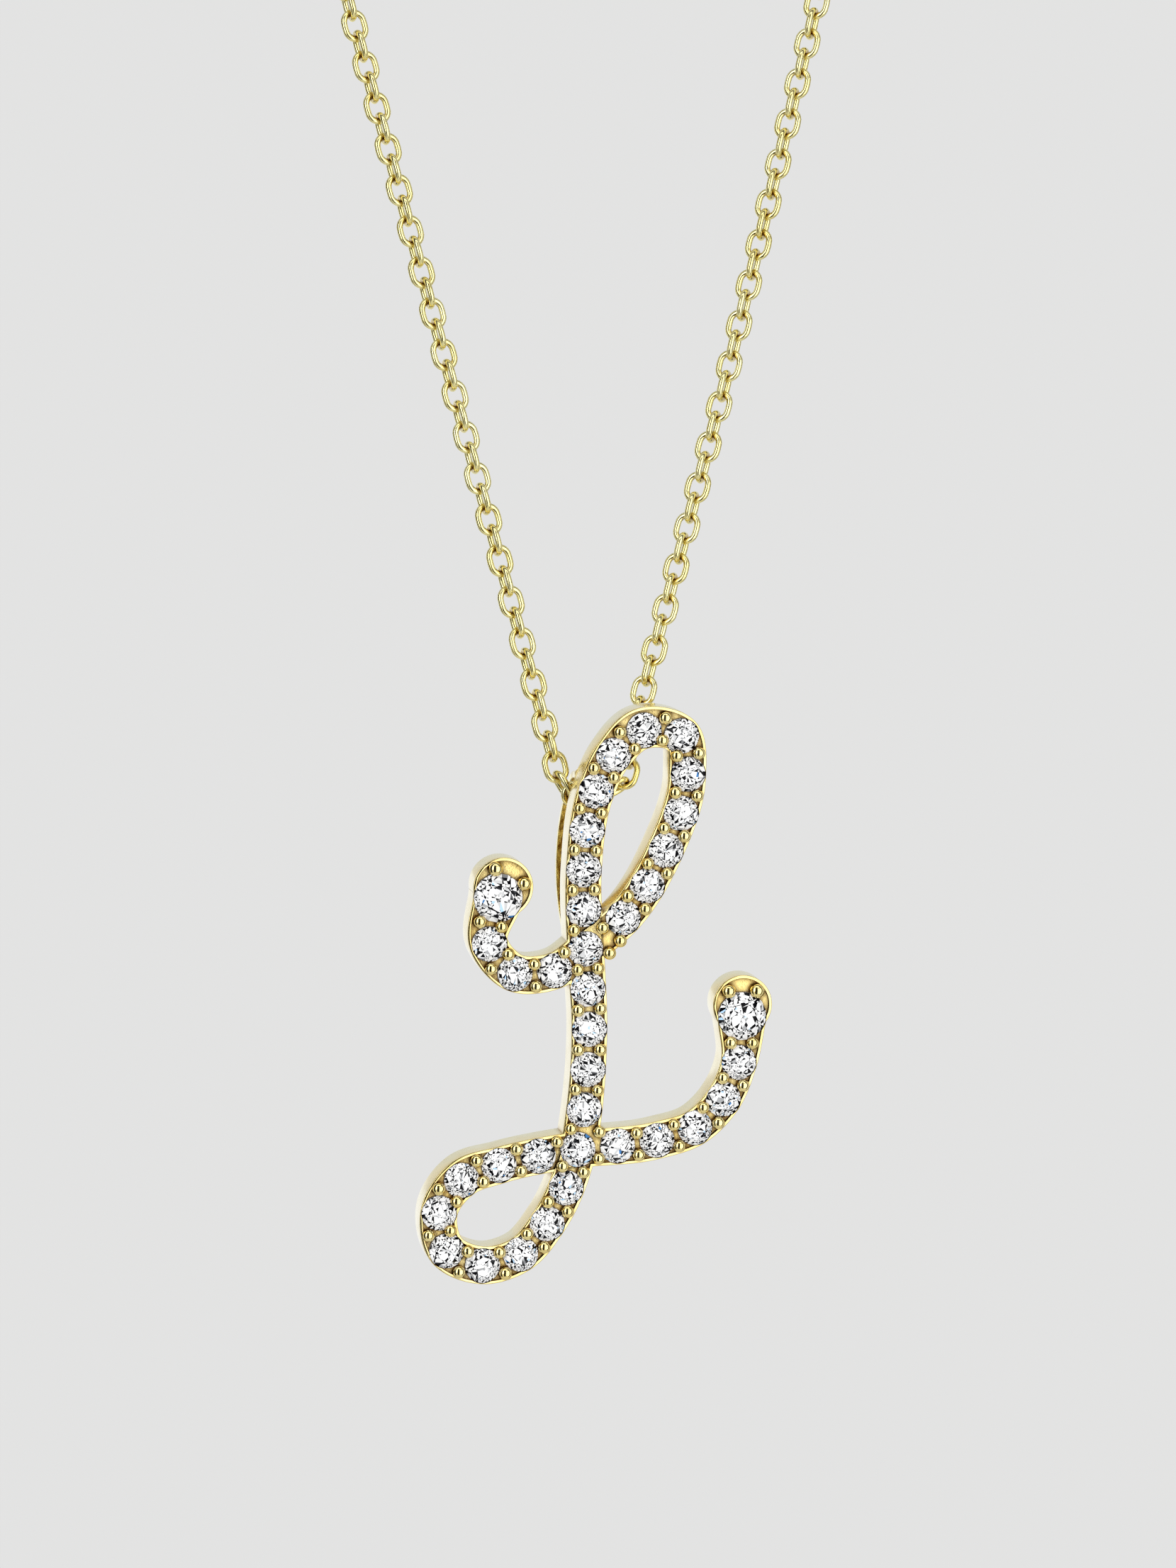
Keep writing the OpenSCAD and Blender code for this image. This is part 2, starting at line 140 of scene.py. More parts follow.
def smooth_line(
    points: Sequence[Sequence[float]], steps: Sequence[int], axes: int
) -> list[list[float]]:
    """Draws the smooth curve through some points.

    Args:
        points: The points, whose further columns are carried along.
        steps: How many steps each point takes to the next.
        axes: How many of the first columns are a place.

    Returns:
        The points of the curve, the last one included.
    """
    rows = [Vector(point) for point in points]
    spans = [math.dist(a[:axes], b[:axes]) for a, b in zip(rows, rows[1:])]
    ways = [(b - a) / span for a, b, span in zip(rows, rows[1:], spans)]
    heads = [ways[0]]
    for before, after, way_in, way_out in zip(spans, spans[1:], ways, ways[1:]):
        heads.append((way_in * after + way_out * before) / (before + after))
    heads.append(ways[-1])
    line = []
    for i, span in enumerate(spans):
        for step in range(steps[i]):
            t = step / steps[i]
            line.append(
                list(
                    (2 * t**3 - 3 * t**2 + 1) * rows[i]
                    + (t**3 - 2 * t**2 + t) * span * heads[i]
                    + (3 * t**2 - 2 * t**3) * rows[i + 1]
                    + (t**3 - t**2) * span * heads[i + 1]
                )
            )
    line.append(list(rows[-1]))
    return line


# ---------------------------------------------------------------------------------------------
# Hand work
# ---------------------------------------------------------------------------------------------


class Bench:
    """The bench that pieces are modelled on: selection, edit mode and applied modifiers."""

    @staticmethod
    def clear() -> None:
        """Leaves edit mode and deselects everything."""
        if bpy.context.mode != "OBJECT":
            bpy.ops.object.mode_set(mode="OBJECT")
        bpy.ops.object.select_all(action="DESELECT")

    @staticmethod
    def take(*pieces: bpy.types.Object) -> None:
        """Selects only some pieces and makes the first one active.

        Args:
            pieces: The pieces.
        """
        Bench.clear()
        for piece in pieces:
            piece.select_set(True)
        bpy.context.view_layer.objects.active = pieces[0]

    @staticmethod
    def named(name: str) -> bpy.types.Object:
        """Names the piece whose primitive has just been added.

        Args:
            name: Its name.

        Returns:
            The piece.
        """
        piece = bpy.context.object
        piece.name = piece.data.name = name
        return piece

    @staticmethod
    @contextmanager
    def shaping(piece: bpy.types.Object) -> Iterator[None]:
        """Puts a piece in edit mode for a while, with nothing selected.

        Args:
            piece: The piece.

        Returns:
            The block's context.
        """
        Bench.take(piece)
        bpy.ops.object.mode_set(mode="EDIT")
        bpy.ops.mesh.select_all(action="DESELECT")
        yield
        bpy.ops.object.mode_set(mode="OBJECT")

    @staticmethod
    def pick(kind: str, test: Callable[[Any], bool]) -> None:
        """Selects parts of the mesh being shaped.

        Args:
            kind: Which parts, "verts", "edges" or "faces".
            test: Says whether one of them is wanted.
        """
        bpy.ops.mesh.select_mode(type={"verts": "VERT", "edges": "EDGE", "faces": "FACE"}[kind])
        bpy.ops.mesh.select_all(action="DESELECT")
        mesh = bpy.context.object.data
        shape = bmesh.from_edit_mesh(mesh)
        for part in getattr(shape, kind):
            if test(part):
                part.select_set(True)
        shape.select_flush_mode()
        bmesh.update_edit_mesh(mesh)

    @staticmethod
    def turn(angle: float, axis: str, centre: Sequence[float]) -> None:
        """Turns what is selected, counter-clockwise seen from the axis' far end."""
        bpy.ops.transform.rotate(value=-angle, orient_axis=axis, center_override=tuple(centre))

    @staticmethod
    def tidy(merge: float = HAIR) -> None:
        """Merges the doubles of the mesh being shaped and turns its faces outwards.

        Args:
            merge: Points closer than this are doubles.
        """
        bpy.ops.mesh.select_all(action="SELECT")
        bpy.ops.mesh.remove_doubles(threshold=merge)
        bpy.ops.mesh.select_all(action="SELECT")
        bpy.ops.mesh.normals_make_consistent(inside=False)

    @staticmethod
    def finish_modifier(piece: bpy.types.Object, kind: str, **settings: Any) -> None:
        """Adds a modifier and applies it.

        Args:
            piece: The piece that it works on.
            kind: Its type.
            settings: Its own settings.
        """
        modifier = piece.modifiers.new(kind.lower(), kind)
        for name, value in settings.items():
            setattr(modifier, name, value)
        Bench.take(piece)
        bpy.ops.object.modifier_apply(modifier=modifier.name)

    @staticmethod
    def combine(piece: bpy.types.Object, tool: bpy.types.Object, how: Cut) -> None:
        """Adds a solid to a piece or takes it away, and throws the solid away."""
        Bench.finish_modifier(piece, "BOOLEAN", operation=how.value, solver="MANIFOLD", object=tool)
        bpy.data.objects.remove(tool)

    @staticmethod
    def copy(piece: bpy.types.Object, name: str, place: Matrix) -> bpy.types.Object:
        """Copies a piece with its own mesh.

        Args:
            piece: What is copied.
            name: The copy's name.
            place: Where the copy goes.

        Returns:
            The copy.
        """
        twin = piece.copy()
        twin.data = piece.data.copy()
        twin.name = twin.data.name = name
        twin.matrix_world = place
        bpy.context.scene.collection.objects.link(twin)
        return twin

    @staticmethod
    def join(pieces: Sequence[bpy.types.Object], name: str) -> bpy.types.Object:
        """Joins pieces to one mesh.

        Args:
            pieces: The pieces, at least one.
            name: The name they get.

        Returns:
            The one piece.
        """
        Bench.take(*pieces)
        if len(pieces) > 1:
            bpy.ops.object.join()
        return Bench.named(name)

    @staticmethod
    def coat(piece: bpy.types.Object, *materials: bpy.types.Material) -> None:
        """Gives a piece its materials, and no others.

        Args:
            piece: The piece.
            materials: Its materials, in the order of their slots.
        """
        piece.data.materials.clear()
        for material in materials:
            piece.data.materials.append(material)

    @staticmethod
    def dab(piece: bpy.types.Object, slot: int, test: Callable[[Any], bool]) -> None:
        """Gives some faces of the piece being shaped the material of another slot.

        Args:
            piece: The piece.
            slot: The slot's number.
            test: Says whether a face is wanted.
        """
        Bench.pick("faces", test)
        piece.active_material_index = slot
        bpy.ops.object.material_slot_assign()

    @staticmethod
    def hand_over(
        piece: bpy.types.Object, place: Matrix, body: Body, slot: Slot, node: str
    ) -> None:
        """Lays a finished piece in the shared frame, with its place in its mesh.

        Args:
            piece: The piece.
            place: Where it goes.
            body: The body that it rides on.
            slot: The record's material slot that its finish belongs to; not used.
            node: The CAD node that it stands for.
        """
        piece.matrix_world = place @ piece.matrix_world
        Bench.take(piece)
        bpy.ops.object.transform_apply(location=True, rotation=True, scale=True)
        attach(piece, body.value)
        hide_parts(node)
        LOG.info("%s: %d faces", piece.name, len(piece.data.polygons))

    @staticmethod
    def smooth(piece: bpy.types.Object, degrees: float) -> None:
        """Shades a piece smooth where its faces meet at less than an angle."""
        Bench.take(piece)
        bpy.ops.object.shade_smooth_by_angle(angle=math.radians(degrees))

    @staticmethod
    def strip(name: str, edges: Sequence[tuple[Vector, Vector]]) -> bpy.types.Object:
        """Models a flat strip by drawing one edge out along a way.

        Args:
            name: The piece's name.
            edges: The two ends of the edge at each step, all at one height.

        Returns:
            The strip, one face to a step.
        """
        bpy.ops.mesh.primitive_plane_add(size=1)
        piece = Bench.named(name)
        with Bench.shaping(piece):
            Bench.pick("verts", lambda v: v.co.y > 0)
            bpy.ops.mesh.delete(type="VERT")
            bpy.ops.mesh.select_all(action="SELECT")
            now = (Vector((-0.5, -0.5, 0)), Vector((0.5, -0.5, 0)))
            for count, then in enumerate(edges):
                old, new = (now[0] + now[1]) / 2, (then[0] + then[1]) / 2
                if count == 0:
                    bpy.ops.transform.translate(value=new - old)
                else:
                    bpy.ops.mesh.extrude_region_move(TRANSFORM_OT_translate={"value": new - old})
                before, after = now[1] - now[0], then[1] - then[0]
                angle = math.atan2(before.x * after.y - before.y * after.x, before.dot(after))
                Bench.turn(angle, "Z", new)
                grow = after.length / before.length
                bpy.ops.transform.resize(value=(grow, grow, 1), center_override=tuple(new))
                now = then
        return piece

    @staticmethod
    def lathe(name: str, profile: Sequence[Flat], steps: int) -> bpy.types.Object:
        """Models a round solid by spinning its profile round the upright axis.

        Args:
            name: The piece's name.
            profile: Radius and height of its points, from the bottom to the top.
            steps: How many steps the turn takes.

        Returns:
            The closed solid.
        """
        bpy.ops.mesh.primitive_plane_add(size=1)
        piece = Bench.named(name)
        with Bench.shaping(piece):
            corner = Vector((-0.5, -0.5, 0))
            Bench.pick("verts", lambda v: (v.co - corner).length > HAIR)
            bpy.ops.mesh.delete(type="VERT")
            bpy.ops.mesh.select_all(action="SELECT")
            places = [Vector((radius, 0, height)) for radius, height in profile]
            bpy.ops.transform.translate(value=places[0] - corner)
            for old, new in zip(places, places[1:]):
                bpy.ops.mesh.extrude_region_move(TRANSFORM_OT_translate={"value": new - old})
            bpy.ops.mesh.select_all(action="SELECT")
            bpy.ops.mesh.spin(steps=steps, angle=FULL_TURN, center=(0, 0, 0), axis=(0, 0, 1))
            Bench.tidy()
        return piece


# ---------------------------------------------------------------------------------------------
# Finishes
# ---------------------------------------------------------------------------------------------


class Signal:
    """A shader value that can be reckoned with like a number."""

    def __init__(self, recipe: "Recipe", socket: bpy.types.NodeSocket) -> None:
        """Wraps a node's output."""
        self.recipe = recipe
        self.socket = socket

    def _maths(self, operation: str, first: Any, second: Any) -> "Signal":
        """Adds a Math node on two values."""
        made = self.recipe.node("ShaderNodeMath", {"operation": operation}, {0: first, 1: second})
        return Signal(self.recipe, made.outputs[0])

    def __add__(self, other: "Value") -> "Signal":
        """Sum."""
        return self._maths("ADD", self, other)

    __radd__ = __add__

    def __mul__(self, other: "Value") -> "Signal":
        """Product."""
        return self._maths("MULTIPLY", self, other)

    __rmul__ = __mul__

    def __sub__(self, other: "Value") -> "Signal":
        """Difference."""
        return self._maths("SUBTRACT", self, other)

    def __rsub__(self, other: "Value") -> "Signal":
        """Difference from a number."""
        return self._maths("SUBTRACT", other, self)

    def __pow__(self, other: "Value") -> "Signal":
        """Power."""
        return self._maths("POWER", self, other)

    def __rpow__(self, other: "Value") -> "Signal":
        """Power of a number."""
        return self._maths("POWER", other, self)


Value = Union[float, Sequence[float], Signal]


class Recipe:
    """The nodes of one finish."""

    def __init__(self, name: str) -> None:
        """Starts an empty material.

        Args:
            name: The material's name.
        """
        self.material = bpy.data.materials.new(name)
        self.material.use_nodes = True
        self.nodes = self.material.node_tree.nodes
        self.nodes.clear()

    def node(
        self, kind: str, settings: Mapping[str, Any], values: Mapping[Union[int, str], Value]
    ) -> bpy.types.Node:
        """Adds one node.

        Args:
            kind: The node's type.
            settings: Its own settings, set first. For a ramp "stops" are its places and
                colours, and "interpolation" says how it goes from one to the next.
            values: The number, colour or link of each socket.

        Returns:
            The node.
        """
        made = self.nodes.new(kind)
        for name, value in settings.items():
            if name == "stops":
                stops = made.color_ramp.elements
                while len(stops) > 1:
                    stops.remove(stops[-1])
                stops[0].position, stops[0].color = value[0]
                for place, colour in value[1:]:
                    stops.new(place).color = colour
            elif name == "interpolation":
                made.color_ramp.interpolation = value
            else:
                setattr(made, name, value)
        for socket, value in values.items():
            if isinstance(value, Signal):
                self.material.node_tree.links.new(value.socket, made.inputs[socket])
            else:
                made.inputs[socket].default_value = value
        return made

    def signal(
        self,
        kind: str,
        settings: Mapping[str, Any],
        values: Mapping[Union[int, str], Value],
        output: Union[int, str] = 0,
    ) -> Signal:
        """Adds one node and takes one of its outputs.

        Args:
            kind: The node's type.
            settings: Its own settings.
            values: The number, colour or link of each socket.
            output: The output's name or number.

        Returns:
            The output.
        """
        return Signal(self, self.node(kind, settings, values).outputs[output])

    def place(self) -> Signal:
        """The place on the piece, in metres."""
        return self.signal("ShaderNodeTexCoord", {}, {}, "Object")

    def grain(
        self, size: float, detail: float = 2.0, roughness: float = 0.5, run: float = 1.0
    ) -> Signal:
        """Noise from 0 to 1 with grains of a size in millimetres.

        Args:
            size: How wide the grains are.
            detail: How much finer noise is laid over them.
            roughness: How strong the finer noise is.
            run: How many times as high as wide the grains are.

        Returns:
            The noise.
        """
        stretched = {"Vector": self.place(), "Scale": (1, 1, 1 / run)}
        values = {
            "Vector": self.signal("ShaderNodeMapping", {}, stretched),
            "Scale": 1 / (size * MM),
            "Detail": detail,
            "Roughness": roughness,
        }
        return self.signal("ShaderNodeTexNoise", {}, values)

    def blend(self, share: Value, low: Value, high: Value) -> Signal:
        """Mixes two colours by a share from 0 to 1."""
        settings = {"data_type": "RGBA"}
        return self.signal("ShaderNodeMix", settings, {0: share, 6: low, 7: high}, 2)

    def spread(self, value: Signal, low: float, high: float) -> Signal:
        """Stretches the range between two numbers to 0 to 1, and clips the rest."""
        values = {"Value": value, "From Min": low, "From Max": high}
        return self.signal("ShaderNodeMapRange", {}, values)

    def close(self, shader: bpy.types.Node) -> bpy.types.Material:
        """Puts the shader on the surface.

        Args:
            shader: The last node before the surface.

        Returns:
            The finished material.
        """
        surface = {"Surface": Signal(self, shader.outputs[0])}
        self.node("ShaderNodeOutputMaterial", {}, surface)
        return self.material


@dataclass(frozen=True)
class Gold:
    """A finish of pale yellow gold. Sizes are in millimetres.

    Clouds of the bright and the warm colour take turns, and both turn to the deep one in
    crevices and between parts: the deep colour is painted shade. The haze is the roughness
    that scuffs add to the polish.
    """

    name: str
    bright: Colour = (0.97, 0.86, 0.46, 1)
    warm: Colour = (0.95, 0.80, 0.37, 1)
    # Colour of the painted shade in crevices and between parts, with its reach and power.
    deep: Colour = (0.30, 0.15, 0.02, 1)
    shade_reach: float = 0.22
    shade_power: float = 1.4
    polish: float = 0.1
    haze: float = 0.08
    haze_size: float = 0.5
    haze_run: float = 1.0
    ripple: float = 0.0015
    ripple_size: float = 0.35
    pits: float = 0.0
    pit_size: float = 0.07
    cloud_share: float = 3.0
    cloud_range: Flat = (0.35, 0.65)
    scuff_range: Flat = (0.4, 0.75)

    def material(self) -> bpy.types.Material:
        """Mixes the finish: painted shade in the deep colour in crevices, cloudy polish, ripples
        and casting grain.

        Returns:
            The material.
        """
        recipe = Recipe(self.name)
        # Ambient occlusion: the deep colour is painted as shade where parts hem the surface in.
        values = {"Color": (1, 1, 1, 1), "Distance": self.shade_reach * MM}
        unshaded = recipe.signal("ShaderNodeAmbientOcclusion", {"samples": 8}, values, "AO")
        cloud = recipe.grain(self.haze_size * self.cloud_share, run=self.haze_run)
        metal = recipe.blend(recipe.spread(cloud, *self.cloud_range), self.warm, self.bright)
        colour = recipe.blend(unshaded**self.shade_power, self.deep, metal)
        scuff = recipe.spread(recipe.grain(self.haze_size, detail=3), *self.scuff_range)
        ripples = recipe.grain(self.ripple_size) * (self.ripple * MM)
        height = ripples + recipe.grain(self.pit_size, detail=3, roughness=0.6) * (self.pits * MM)
        values = {"Strength": 1.0, "Distance": 1.0, "Height": height}
        bump = recipe.signal("ShaderNodeBump", {}, values)
        shader = recipe.node(
            "ShaderNodeBsdfPrincipled",
            {},
            {
                "Base Color": colour,
                "Metallic": 1.0,
                "Roughness": self.polish + scuff * self.haze,
                "Normal": bump,
            },
        )
        return recipe.close(shader)


@dataclass(frozen=True)
class PaintedBrilliance:
    """A cut stone's painted reflections: each small mirror is painted light, grey, black or fire.
    """

    name: str = "brilliant"
    mirrors: tuple[tuple[float, Colour], ...] = (
        (0.0, (0.002, 0.002, 0.003, 1)),
        (0.14, (0.025, 0.027, 0.03, 1)),
        (0.2, (0.095, 0.099, 0.104, 1)),
        (0.28, (0.19, 0.194, 0.202, 1)),
        (0.4, (0.34, 0.345, 0.352, 1)),
        (0.52, (0.53, 0.535, 0.54, 1)),
        (0.66, (0.72, 0.723, 0.726, 1)),
        (0.84, (0.78, 0.78, 0.78, 1)),
        (0.982, (0.42, 0.62, 0.82, 1)),
        (0.993, (0.05, 0.18, 0.42, 1)),
    )
    # The painted mirrors also give off light as if let through the stone: painted light.
    glow: float = 0.2
    polish: float = 0.03
    refraction: float = 1.18
    veil: float = 0.12
    veil_size: float = 0.12
    veil_range: Flat = (0.3, 0.7)

    def material(self) -> bpy.types.Material:
        """Mixes the painted reflections from the value that each small face carries, under a faint
        veil, and lets them glow as painted light.

        Returns:
            The material.
        """
        recipe = Recipe(self.name)
        # Each small face's value picks its painted reflection: black, grey, white or blue fire.
        settings = {"attribute_name": Brilliant.SPARK, "attribute_type": "GEOMETRY"}
        spark = recipe.signal("ShaderNodeAttribute", settings, {}, "Fac")
        settings = {"stops": self.mirrors, "interpolation": "CONSTANT"}
        colour = recipe.signal("ShaderNodeValToRGB", settings, {"Fac": spark}, "Color")
        veil = recipe.spread(recipe.grain(self.veil_size), *self.veil_range)
        shaded = recipe.blend(veil * self.veil + (1 - self.veil), (0, 0, 0, 1), colour)
        # The painted colours are given off again as painted light, at the glow's strength.
        shader = recipe.node(
            "ShaderNodeBsdfPrincipled",
            {},
            {
                "Base Color": shaded,
                "Roughness": self.polish,
                "IOR": self.refraction,
                "Emission Color": shaded,
                "Emission Strength": self.glow,
            },
        )
        return recipe.close(shader)


@dataclass(frozen=True)
class Plain:
    """A plain matt finish of the studio, with the slightest unevenness."""

    name: str
    colour: Colour
    roughness: float = 0.8
    shade: float = 0.96
    cloud_size: float = 8.0

    def material(self) -> bpy.types.Material:
        """Mixes the finish.

        Returns:
            The material.
        """
        recipe = Recipe(self.name)
        shade = tuple(self.shade * part for part in self.colour[:3]) + (1,)
        colour = recipe.blend(recipe.grain(self.cloud_size, detail=4), shade, self.colour)
        values = {"Base Color": colour, "Roughness": self.roughness}
        return recipe.close(recipe.node("ShaderNodeBsdfPrincipled", {}, values))


@dataclass(frozen=True)
class Glow:
    """A studio surface that gives light, or none."""

    name: str
    colour: Colour
    strength: float

    def material(self) -> bpy.types.Material:
        """Mixes the finish.

        Returns:
            The material.
        """
        recipe = Recipe(self.name)
        values = {"Color": self.colour, "Strength": self.strength}
        return recipe.close(recipe.node("ShaderNodeEmission", {}, values))


POLISHED = Gold("polished_gold", bright=(0.94, 0.79, 0.37, 1), warm=(0.87, 0.69, 0.27, 1))
# Side walls: satin polish; their paler colours are painted sheen of light caught at a slant.
WALL_GOLD = Gold(
    "side_wall_gold_painted_sheen",
    bright=(0.97, 0.86, 0.56, 1),
    warm=(0.95, 0.82, 0.48, 1),
    polish=0.2,
    haze=0.1,
    ripple=0.0008,
)
# Floor and seats: cast pits are real; darker, browner colours are painted shade, near black in
# crevices.
SHADED_FLOOR_GOLD = Gold(
    "cast_floor_gold_painted_shade",
    bright=(0.93, 0.76, 0.33, 1),
    warm=(0.75, 0.55, 0.18, 1),
    deep=(0.05, 0.015, 0.002, 1),
    shade_reach=0.2,
    shade_power=3.0,
    polish=0.14,
    haze=0.12,
    ripple=0.006,
    pits=0.01,
)
BEAD_GOLD = Gold(
    "bead_gold",
    bright=(0.98, 0.83, 0.38, 1),
    warm=(0.96, 0.77, 0.30, 1),
    deep=(0.34, 0.16, 0.02, 1),
    shade_reach=0.2,
    shade_power=1.2,
)
LINK_GOLD = Gold(
    "link_gold",
    bright=(0.98, 0.90, 0.46, 1),
    warm=(0.95, 0.83, 0.35, 1),
    deep=(0.38, 0.20, 0.03, 1),
    shade_reach=0.18,
    shade_power=1.5,
    polish=0.16,
    haze=0.12,
    ripple=0.006,
    ripple_size=0.16,
)
STRAP_GOLD = Gold("strap_gold", ripple=0.004, ripple_size=0.6, haze=0.14)
# Strap faces turned to the letter's back: rough and pitted; the dark brown is painted shade.
STRAP_INSIDE_SHADE = Gold(
    "rough_strap_inside_painted_shade",
    bright=(1, 0.78, 0.23, 1),
    warm=(0.24, 0.11, 0.01, 1),
    deep=(0.10, 0.05, 0.006, 1),
    shade_reach=0.6,
    shade_power=1.0,
    polish=0.24,
    haze=0.24,
    haze_size=0.04,
    haze_run=5,
    ripple=0.008,
    pits=0.03,
    pit_size=0.1,
)


# ---------------------------------------------------------------------------------------------
# The pendant
# ---------------------------------------------------------------------------------------------


@dataclass
class StrokePoint:
    """One point of the stroke's middle line, with the band's reach on each side."""

    place: Vector
    way: Vector
    left: float
    right: float

    def edge(self, half: float, inset: float) -> tuple[Vector, Vector]:
        """The band's two edges here.

        Args:
            half: Half the band's usual width.
            inset: How far the edges are drawn back.

        Returns:
            The left edge and the right edge.
        """
        side = Vector((-self.way.y, self.way.x, 0))
        return (
            self.place + side * (self.left * half - inset),
            self.place - side * (self.right * half - inset),
        )


@dataclass
class Stretch:
    """A stretch of the stroke between two crossings."""

    first: int
    last: int
    first_extra: float = 0
    last_extra: float = 0
    first_beads: Table = PAIR
    last_beads: Table = PAIR


@dataclass
class Stroke:
    """The letter's stroke, as in the CAD source. Sizes are in millimetres."""

    width: float = 11.05
    height: float = 19.7
    stone: float = 1.3
    end_stone: float = 1.8
    stone_gap: float = 0.1
    fork_gap: float = 0.33
    hook_less: float = 0.12
    stone_steps: int = 6
    stretches: list[Stretch] = field(init=False)
    crossings: tuple[int, int] = field(init=False)

    def __post_init__(self) -> None:
        """Finds the crossings among the rows."""
        top = len(HOOK)
        loop = top + len(UPPER_LOOP) + 1
        low = loop + len(STEM) + 1
        bow = low + len(LOWER_LOOP) + 1
        end = bow + len(SWASH)
        extra = (self.end_stone - self.stone) / 2
        self.crossings = (top, low)
        self.stretches = [
            Stretch(0, top, extra, -self.hook_less),
            Stretch(top, loop, self.fork_gap, 0, FORK_BEADS, CORNER_BEADS),
            Stretch(loop, low, 0, 0, LEFT_BEAD, CORNER_BEADS),
            Stretch(low, bow, 0, 0, PAIR, LEFT_BEAD),
            Stretch(bow, end, 0, extra, RIGHT_BEAD, PAIR),
        ]

    def line(self, steps: int) -> list[StrokePoint]:
        """The stroke's middle line.

        Args:
            steps: How many steps it takes from each row to the next.

        Returns:
            The points of the line.
        """
        rows = [(r[0] * self.width, r[1] * self.height, r[2], r[3]) for r in ROWS]
        points = smooth_line(rows, [steps] * len(rows), 2)
        places = [Vector((p[0], p[1], 0)) for p in points]
        before, after = [places[0], *places[:-1]], [*places[1:], places[-1]]
        ways = [(b - a).normalized() for a, b in zip(before, after)]
        return [StrokePoint(place, way, p[2], p[3]) for place, way, p in zip(places, ways, points)]

    def _lengths(self, line: Sequence[StrokePoint]) -> list[float]:
        """Measures the stroke.

        Args:
            line: The points of its middle line.

        Returns:
            The length before each point.
        """
        total = [0.0]
        for a, b in zip(line, line[1:]):
            total.append(total[-1] + (b.place - a.place).length)
        return total

    def _at(self, line: Sequence[StrokePoint], run: Sequence[float], length: float) -> StrokePoint:
        """Finds a point of the stroke.

        Args:
            line: The points of its middle line.
            run: The length before each of them.
            length: The point's own length from the start.

        Returns:
            The point, with its usual reach to both sides.
        """
        i = max(k for k in range(len(run) - 1) if run[k] <= length or k == 0)
        t = (length - run[i]) / (run[i + 1] - run[i])
        place = line[i].place.lerp(line[i + 1].place, t)
        return StrokePoint(place, line[i].way.lerp(line[i + 1].way, t).normalized(), 1, 1)

    def _stops(self, run: Sequence[float], stretch: Stretch) -> list[float]:
        """Spaces the stones along a stretch.

        Args:
            run: The length of stroke before each point.
            stretch: The stretch.

        Returns:
            Lengths from the stroke's start, the stretch's two ends included.
        """
        start = run[stretch.first * self.stone_steps]
        end = run[stretch.last * self.stone_steps]
        free = end - start - stretch.first_extra - stretch.last_extra
        gaps = int(free // (self.stone + self.stone_gap))
        inner = [start + stretch.first_extra + free * k / gaps for k in range(1, gaps)]
        return [start, *inner, end]

    def stones(self) -> list[Vector]:
        """Places the small stones.

        Returns:
            Their places, in the order of the CAD nodes.
        """
        line = self.line(self.stone_steps)
        run = self._lengths(line)
        stops = [s for stretch in self.stretches for s in self._stops(run, stretch)[1:-1]]
        stops += [run[row * self.stone_steps] for row in self.crossings]
        return [self._at(line, run, s).place for s in stops]

    def end_stones(self) -> list[Vector]:
        """Places of the two larger stones, at the start and the end of the stroke."""
        line = self.line(1)
        return [line[0].place, line[-1].place]

    def beads(self, reach: float) -> list[Vector]:
        """Places the beads along the stroke.

        Args:
            reach: Their usual distance from its middle.

        Returns:
            Their places.
        """
        line = self.line(self.stone_steps)
        run = self._lengths(line)
        places = []
        for stretch in self.stretches:
            stops = self._stops(run, stretch)
            last = len(stops) - 2
            for k in range(last + 1):
                beads = stretch.first_beads if k == 0 else stretch.last_beads if k == last else PAIR
                shift = 0.0
                if k == 0 and stretch.first == 0:
                    shift = stretch.first_extra / 2
                if k == last and stretch is self.stretches[-1]:
                    shift = -stretch.last_extra / 2
                for share, side in beads:
                    at = self._at(line, run, stops[k] + share * (stops[k + 1] - stops[k]) + shift)
                    places.append(at.place + side * reach * Vector((at.way.y, -at.way.x, 0)))
        return places


@dataclass
class Hanging:
    """How the pendant hangs on the chain, as in the CAD source."""

    hinge: Vector = field(default_factory=lambda: Vector((5.083, 17.1587, -0.6)))
    place: Vector = field(default_factory=lambda: Vector((-0.531, -102, -127)))
    tilt: float = 8.12319

    def matrix(self) -> Matrix:
        """Lays what is modelled on its back in millimetres at its place in the frame.

        Returns:
            The turn, shift and scale as one matrix.
        """
        return (
            Matrix.Scale(MM, 4)
            @ Matrix.Translation(self.place)
            @ Matrix.Rotation(math.radians(90 + self.tilt), 4, "X")
            @ Matrix.Translation(-self.hinge)
        )


@dataclass
class EndPlate:
    """The round plate under an end stone, with its two cap beads."""

    across: float
    up: float
    beads: tuple[float, float]


